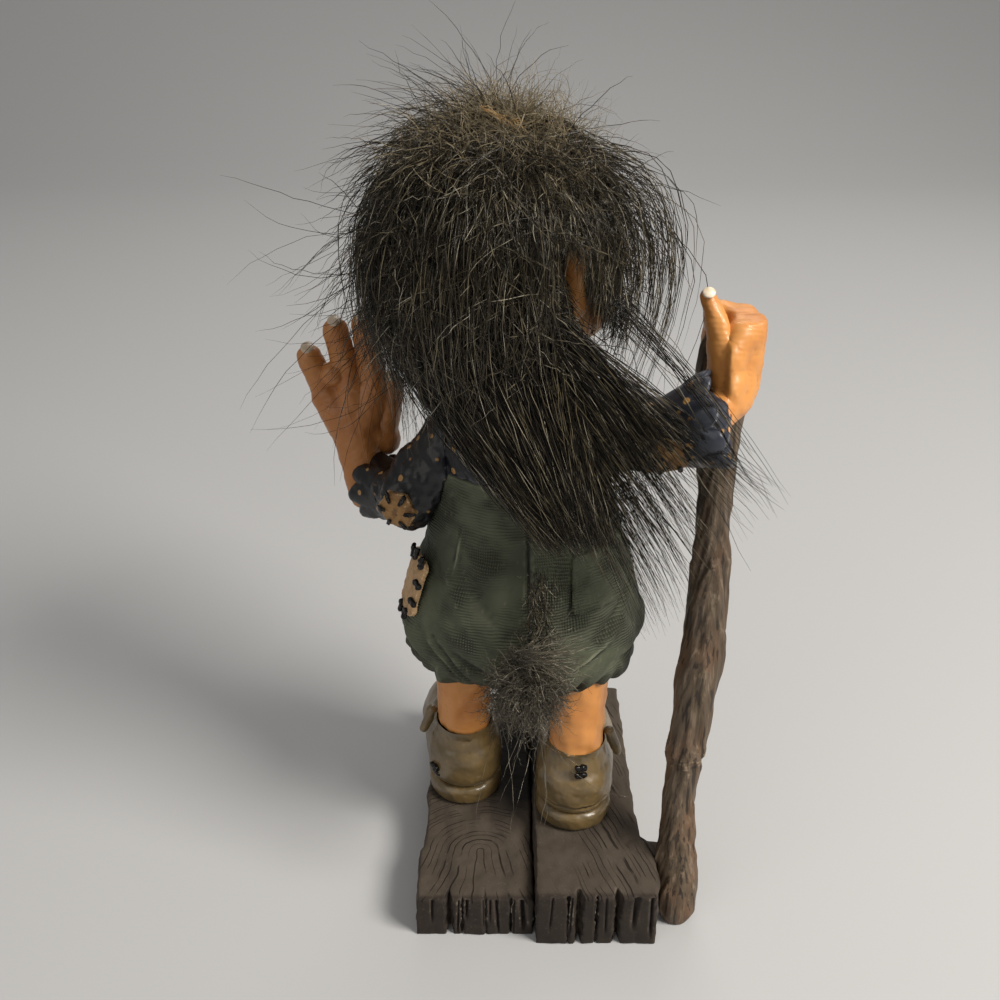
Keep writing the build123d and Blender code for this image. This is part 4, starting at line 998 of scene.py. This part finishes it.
# Veil: a thin outer layer that hangs off the crown like a bell, wider on the side of the face.
# It parts at the ear as the fall does.
VEIL = 1300
loose_fur = fur(
    "hair_loose",
    (0.012, 0.009, 0.005, 1), (0.018, 0.014, 0.008, 1), (0.185, 0.155, 0.100, 1), (0.58, 0.53, 0.42, 1),
)
share = np.linspace(0, 1, FALL_STEPS)[None, :]
bearing, root = chance.uniform(-180, 180, VEIL), chance.uniform(3, 20, VEIL)
bearing[off_face(bearing) < 40] -= 120
last = chance.uniform(38, 66, VEIL)
fall = root[:, None] + (last - root)[:, None] * share
aside = chance.normal(0, 5.0, (VEIL, 1)) * share ** 1.2
aside += chance.normal(0, 1.6, (VEIL, 1)) * np.sin(share * pi)
wide = step(bearing, 48, 70) * chance.uniform(0, 8, VEIL)
out = -3.2 + np.abs(chance.normal(0, 2.0, VEIL)) + wide
lift = pelt_lift(fall) + (out[:, None] - pelt_lift(fall)) * step(share, 0, 0.5)
paths, long = parted(on_cap(bearing[:, None] + np.degrees(aside / 20), fall, lift))
thick, shade = chance.uniform(0.05, 0.085, VEIL), chance.uniform(size=VEIL)
piece = strands("hair_veil", paths[long], thick[long], shade[long], loose_fur)
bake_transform(piece)

# Frizz on the crown: fine curly hairs that stand off the pelt every way.
# They are the palest of the fur.
FRIZZ_PIECES = 2
FRIZZ = 2600
frizz_fur = fur(
    "hair_frizz",
    (0.044, 0.033, 0.017, 1), (0.160, 0.127, 0.076, 1), (0.360, 0.292, 0.182, 1), (0.56, 0.48, 0.33, 1),
)
for number in range(FRIZZ_PIECES):
    bearing, fall = chance.uniform(-180, 180, FRIZZ), 19 * chance.uniform(0, 1, FRIZZ) ** 0.6
    starts = on_cap(bearing, fall, pelt_lift(fall) + chance.uniform(-0.2, 2.0, FRIZZ))
    outward, _ = ways(bearing, fall)
    sweep = unit(np.cross(outward, chance.normal(size=(FRIZZ, 3))))
    along = unit(outward * chance.uniform(0.0, 0.6, (FRIZZ, 1)) + sweep)
    toward = unit(np.cross(along, chance.normal(size=(FRIZZ, 3))) - 0.35 * outward)
    paths = curl(chance, starts, along, toward, (5, 13), (1.0, 4.5), 11)
    shade = chance.uniform(size=FRIZZ)
    thick = chance.uniform(0.03, 0.055, FRIZZ)
    piece = strands(f"hair_frizz_{number + 1}", paths, thick, shade, frizz_fur)
    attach(piece, "head")

# Tousle: loose hairs that lie across the fall every way, so that it looks uncombed.
# They start below the crown and turn with the head.
TOUSLE = 2950
bearing, fall = chance.uniform(-125, 80, TOUSLE), chance.uniform(12, 46, TOUSLE)
starts = on_cap(bearing, fall, pelt_lift(fall) + 1.6 + 4.2 * chance.uniform(0, 1, TOUSLE) ** 1.4)
outward, down = ways(bearing, fall)
across = np.cross(outward, down) * chance.normal(0, 1.3, (TOUSLE, 1))
along = down * chance.uniform(-0.1, 1.0, (TOUSLE, 1)) + across
along = unit(along + outward * chance.uniform(0.0, 0.25, (TOUSLE, 1)))
toward = unit(chance.normal(0, 0.5, (TOUSLE, 3)) + down - 0.7 * outward)
paths = curl(chance, starts, along, toward, (6, 17), (0.3, 1.5), 12)
paths, long = parted(paths)
thick, shade = chance.uniform(0.045, 0.085, TOUSLE), chance.uniform(0.2, 1, TOUSLE)
piece = strands("hair_tousle", paths[long], thick[long], shade[long], loose_fur)
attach(piece, "head")

# Wisps: single long hairs that stand away at the crown and the sides.
# Most are on the left, and those near the crown lean that way.
WISPS = 300
on_left = chance.uniform(size=WISPS) < 0.6
bearing = np.where(on_left, chance.normal(-80, 45, WISPS), chance.uniform(-180, 180, WISPS))
fall = 34 * chance.uniform(0, 1, WISPS) ** 1.5
starts = on_cap(bearing, fall, -3.5)
outward, down = ways(bearing, fall)
hang = step(fall, 4, 24)[:, None]
along = outward * chance.uniform(0.3, 0.9, (WISPS, 1)) + down * (0.3 + hang)
along += chance.normal(0, 0.4, (WISPS, 3))
along = unit(along + np.array((-0.6, 0, 0.2)) * (1 - hang))
toward = unit(chance.normal(size=(WISPS, 3)) + (0, 0, -1.2))
paths = curl(chance, starts, along, toward, (9, 21), (0.2, 1.9), 12)
thick, shade = chance.uniform(0.04, 0.07, WISPS), chance.uniform(0, 0.8, WISPS)
piece = strands("hair_wisps", paths, thick, shade, hair)
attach(piece, "head")

# Strays: single hairs that hang loose at the left, across the raised hand and below its elbow.
# They stay in place as the head turns.
STRAYS = 90
loose = np.random.default_rng(8)
bearing, fall = loose.uniform(-120, -25, STRAYS), loose.uniform(24, 54, STRAYS)
starts = on_cap(bearing, fall, -3.0)
outward, _ = ways(bearing, fall)
along = outward * loose.uniform(0.1, 0.7, (STRAYS, 1)) + (-0.3, -0.3, -0.7)
along = unit(along + loose.normal(0, 0.35, (STRAYS, 3)))
toward = unit(loose.normal(size=(STRAYS, 3)) + (-0.3, 0, -0.5))
paths = curl(loose, starts, along, toward, (9, 30), (0.2, 1.5), 12)
thick, shade = loose.uniform(0.035, 0.06, STRAYS), loose.uniform(0, 0.8, STRAYS)
piece = strands("hair_strays", paths, thick, shade, hair)
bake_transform(piece)

# Seam: a line of pale cut fibres on the crown, where the pelt is joined.
# The fibres are short and tan, between two ends.
SEAM = 34
SEAM_ENDS = ((-8.6, -5.8, 143.1), (-2.7, -9.2, 141.2))
first, second = np.array(SEAM_ENDS)
starts = first + (second - first) * chance.uniform(0, 0.8, (SEAM, 1)) + chance.normal(0, 0.12, (SEAM, 3))
along = unit(unit(second - first) + chance.normal(0, 0.14, (SEAM, 3)))
paths = curl(chance, starts, along, chance.normal(size=(SEAM, 3)), (1.0, 2.6), (0.1, 0.6), 6)
seam_fur = fur(
    "pelt_seam",
    (0.40, 0.25, 0.10, 1), (0.42, 0.27, 0.12, 1), (0.66, 0.48, 0.25, 1), (0.80, 0.68, 0.46, 1),
)
thick, shade = chance.uniform(0.05, 0.09, SEAM), chance.uniform(size=SEAM)
piece = strands("pelt_seam", paths, thick, shade, seam_fur)
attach(piece, "head")

# Long locks: hair from the nape that lies on the back and sweeps over the right sleeve, past the staff.
# A share of the hairs sweeps to a fan, and the others end in blunt clumps on the back.
LOCK_PIECES = 2
LOCKS = 2100
SWEEP_SHARE = 0.24
FAN = ((17.0, -20.5, 64.0), (38.0, -17.5, 88.0))
LOCK_STEPS = 13
LOCK_CLUMPS = 22
for number in range(LOCK_PIECES):
    across = chance.uniform(size=LOCKS)
    clump = np.round(across * LOCK_CLUMPS + chance.normal(0, 0.35, LOCKS))
    across = (clump / LOCK_CLUMPS + across) / 2
    sweep = chance.uniform(size=LOCKS) < SWEEP_SHARE
    start_x = np.where(sweep, -10 + 17 * across, -20 + 23 * across) + chance.normal(0, 1.6, LOCKS)
    turn = np.degrees(np.arcsin(np.clip((start_x - neck[0]) / 17, -0.98, 0.98)))
    starts = on_cap(turn, chance.uniform(34, 52, LOCKS), chance.uniform(-6.6, -3.0, LOCKS))
    lock_end = np.stack([2.5 + 8.5 * across, np.full(LOCKS, -20.6), 80.5 + 1.2 * np.sin(clump * 3.7)], axis=1)
    fan = np.array(FAN[0]) + (np.array(FAN[1]) - FAN[0]) * across[:, None]
    ends = np.where(sweep[:, None], fan, lock_end) + chance.normal(0, 1.0, (LOCKS, 3))
    even = chance.uniform(size=LOCKS) < 0.4
    blunt = np.where(even, chance.uniform(0.93, 1.0, LOCKS), chance.uniform(0.55, 1.0, LOCKS))
    long = np.where(sweep, chance.uniform(0.5, 1.05, LOCKS), blunt)
    bow = starts + (ends - starts) * np.where(sweep[:, None], (0.58, 0.9, 0.40), (0.42, 0.9, 0.5))
    bow[:, 1] = np.minimum(bow[:, 1], -19.5) - 0.8 * chance.uniform(0, 1, LOCKS)
    share = (np.linspace(0, 1, LOCK_STEPS)[None, :] * long[:, None])[:, :, None]
    paths = (1 - share) ** 2 * starts[:, None] + 2 * share * (1 - share) * bow[:, None]
    paths += share ** 2 * ends[:, None]
    paths += 0.45 * np.sin(share * chance.uniform(3, 8, (LOCKS, 1, 1)) + chance.uniform(0, 6, (LOCKS, 1, 3)))
    paths, kept = parted(paths)
    thick, shade = chance.uniform(0.055, 0.095, LOCKS), chance.uniform(0.1, 1.03, LOCKS)
    piece = strands(f"hair_locks_{number + 1}", paths[kept], thick[kept], shade[kept], hair)
    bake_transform(piece)
    if number == 0:
        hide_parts("hair_back")

# Brows: bushy hairs on the face's heavy brow.
# They grow outward from the middle of the face and droop.
BROW = 420
sides = chance.choice((-1, 1), BROW)
at = chance.uniform(1.2, 7.5, BROW)
forward, rise = 12.3 - 0.05 * at ** 2, chance.uniform(25.2, 27.6, (BROW, 1))
starts = neck + (sides * at)[:, None] * to_side + to_face * forward[:, None] + rise * np.array((0, 0, 1))
along = unit(to_face * 0.7 + (sides * 0.8)[:, None] * to_side + chance.normal(0, 0.25, (BROW, 3)))
paths = curl(chance, starts, along, np.tile((0.0, 0.0, -1.0), (BROW, 1)), (2.0, 4.5), (0.4, 1.2), 8)
thick, shade = chance.uniform(0.05, 0.09, BROW), chance.uniform(size=BROW)
piece = strands("brows", paths, thick, shade, hair)
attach(piece, "head")


# Tail: a strip of the same pelt glued to the seat, which ends in a loose grey tuft.
# The tuft turns with the tail, and the strip stays in place.
TUFT = 1900
FAN_HAIRS = 70
LOOSE_HAIRS = 16
tail_fur = fur(
    "tail_fur",
    (0.050, 0.044, 0.035, 1), (0.075, 0.065, 0.048, 1), (0.215, 0.188, 0.142, 1), (0.52, 0.47, 0.38, 1),
)
low, high = box_mm("tail_tuft")
middle, half = (low + high) / 2 + (-1.5, 0, 1.5), (high - low) / 2
aim = unit(chance.normal(size=(TUFT, 3)) * (1, 0.8, 1))
starts = middle + aim * half * chance.uniform(0.1, 0.85, (TUFT, 1))
along = unit(aim + chance.normal(0, 0.6, (TUFT, 3)) + (0, 0, -0.5))
toward = unit(chance.normal(size=(TUFT, 3)) + (0, 0, -0.6))
paths = curl(chance, starts, along, toward, (2.5, 6.5), (0.5, 2.8), 12)
fan_starts = middle + (-1.0, -half[1] * 0.7, half[2]) + chance.normal(0, 0.8, (FAN_HAIRS, 3))
fan_along = unit(chance.normal(0, 0.35, (FAN_HAIRS, 3)) + (1, -0.1, 0.05))
toward = chance.normal(size=(FAN_HAIRS, 3))
fan_paths = curl(chance, fan_starts, fan_along, toward, (6, 13), (0.1, 0.9), 12)
loose_starts = middle + (0, -1, -half[2] * 0.7) + chance.normal(0, 2.0, (LOOSE_HAIRS, 3))
loose_along = unit(chance.normal(0, 0.3, (LOOSE_HAIRS, 3)) + (0, 0, -1))
toward = chance.normal(size=(LOOSE_HAIRS, 3))
loose_paths = curl(chance, loose_starts, loose_along, toward, (10, 22), (0.3, 1.6), 12)
paths = np.concatenate([paths, fan_paths, loose_paths])
shade = np.concatenate([chance.uniform(size=TUFT), chance.uniform(0.7, 1, FAN_HAIRS + LOOSE_HAIRS)])
piece = strands("tail_tuft_fur", paths, chance.uniform(0.04, 0.07, len(paths)), shade, tail_fur)
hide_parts("tail_tuft")
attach(piece, "tail")
STRIP = 300
low, high = box_mm("tail_strip")
down = chance.uniform(0, 1, STRIP)
starts = np.stack([
    (low[0] + high[0]) / 2 + chance.normal(0, 0.9, STRIP),
    high[1] - 0.4 - (high[1] - low[1]) * 0.45 * down - chance.uniform(0, 0.8, STRIP),
    high[2] + 3.0 - (high[2] - low[2] + 1) * down,
], axis=1)
along = unit(chance.normal(0, 0.30, (STRIP, 3)) + (0.02, -0.18, -1))
toward = unit(chance.normal(size=(STRIP, 3)) + (0, -0.8, 0))
paths = curl(chance, starts, along, toward, (3, 8), (0.2, 1.5), 10)
thick, shade = chance.uniform(0.04, 0.07, STRIP), chance.uniform(size=STRIP)
strip_piece = strands("tail_strip_fur", paths, thick, shade, loose_fur)
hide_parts("tail_strip")
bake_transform(strip_piece)


# Studio: a plain pale sheet that curves up behind the figure, lit by a soft lamp from the right,
# a weak wide one from the left and one from the far side. Lengths here are in metres.
FLOOR = 1.6
SWEEP_START = 0.55
SWEEP_RADIUS = 0.5
SWEEP_STEPS = 12
profile = [(-FLOOR, 0.0), (SWEEP_START, 0.0)]
for k in range(1, SWEEP_STEPS + 1):
    turn = k / SWEEP_STEPS * pi / 2
    profile.append((SWEEP_START + SWEEP_RADIUS * np.sin(turn), SWEEP_RADIUS * (1 - np.cos(turn))))
profile.append((SWEEP_START + SWEEP_RADIUS, FLOOR))
floor_points = [(x, y, z) for y, z in profile for x in (-FLOOR, FLOOR)]
floor_faces = [(2 * k, 2 * k + 1, 2 * k + 3, 2 * k + 2) for k in range(len(profile) - 1)]
mesh = bpy.data.meshes.new("floor")
mesh.from_pydata(floor_points, [], floor_faces)
mesh.polygons.foreach_set("use_smooth", np.ones(len(floor_faces), bool))
floor = new_object("floor", mesh)
pale, shader, _, _ = paint("floor_pale", 0.8, 0.2)
shader.inputs["Base Color"].default_value = (0.46, 0.465, 0.48, 1)
mesh.materials.append(pale)
floor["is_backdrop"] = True

# Lamps as name, place, size, power and tint.
LAMPS = (
    ("key", (0.42, -0.24, 0.52), 0.24, 5.8, (1.0, 0.95, 0.86)),
    ("fill", (-0.40, -0.40, 0.40), 0.50, 0.7, (1.0, 0.97, 0.92)),
    ("rim", (0.10, 0.50, 0.55), 0.40, 1.2, (1.0, 0.96, 0.90)),
)
target = Vector((0, 0, 0.07))
for name, spot, size, power, tint in LAMPS:
    lamp = bpy.data.lights.new(name, "AREA")
    lamp.size = size
    lamp.energy = power
    lamp.color = tint
    lamp_object = new_object(name, lamp)
    lamp_object.location = spot
    lamp_object.rotation_euler = (target - Vector(spot)).to_track_quat("-Z", "Y").to_euler()
world = bpy.data.worlds.new("studio")
world.use_nodes = True
world.node_tree.nodes["Background"].inputs["Color"].default_value = (0.90, 0.88, 0.84, 1)
world.node_tree.nodes["Background"].inputs["Strength"].default_value = 0.33
bpy.context.scene.world = world
bpy.context.scene.view_settings.view_transform = "Standard"

# Camera: behind and above the figure, at the viewpoint of the photo, tipped down by a pitch in degrees.
# Its focal length is a share of the picture's width.
CAMERA_PITCH = 30.1545
FOCAL_SHARE = 1.05
SENSOR = 36.0
camera_data = bpy.data.cameras.new("camera")
camera_data.sensor_width = SENSOR
camera_data.lens = SENSOR * FOCAL_SHARE
camera_data.clip_start = 0.005
camera = new_object("camera", camera_data)
camera.location = VIEWPOINT * MM
camera.rotation_euler = (radians(90 - CAMERA_PITCH), 0, 0)
bpy.context.scene.camera = camera

low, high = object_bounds()
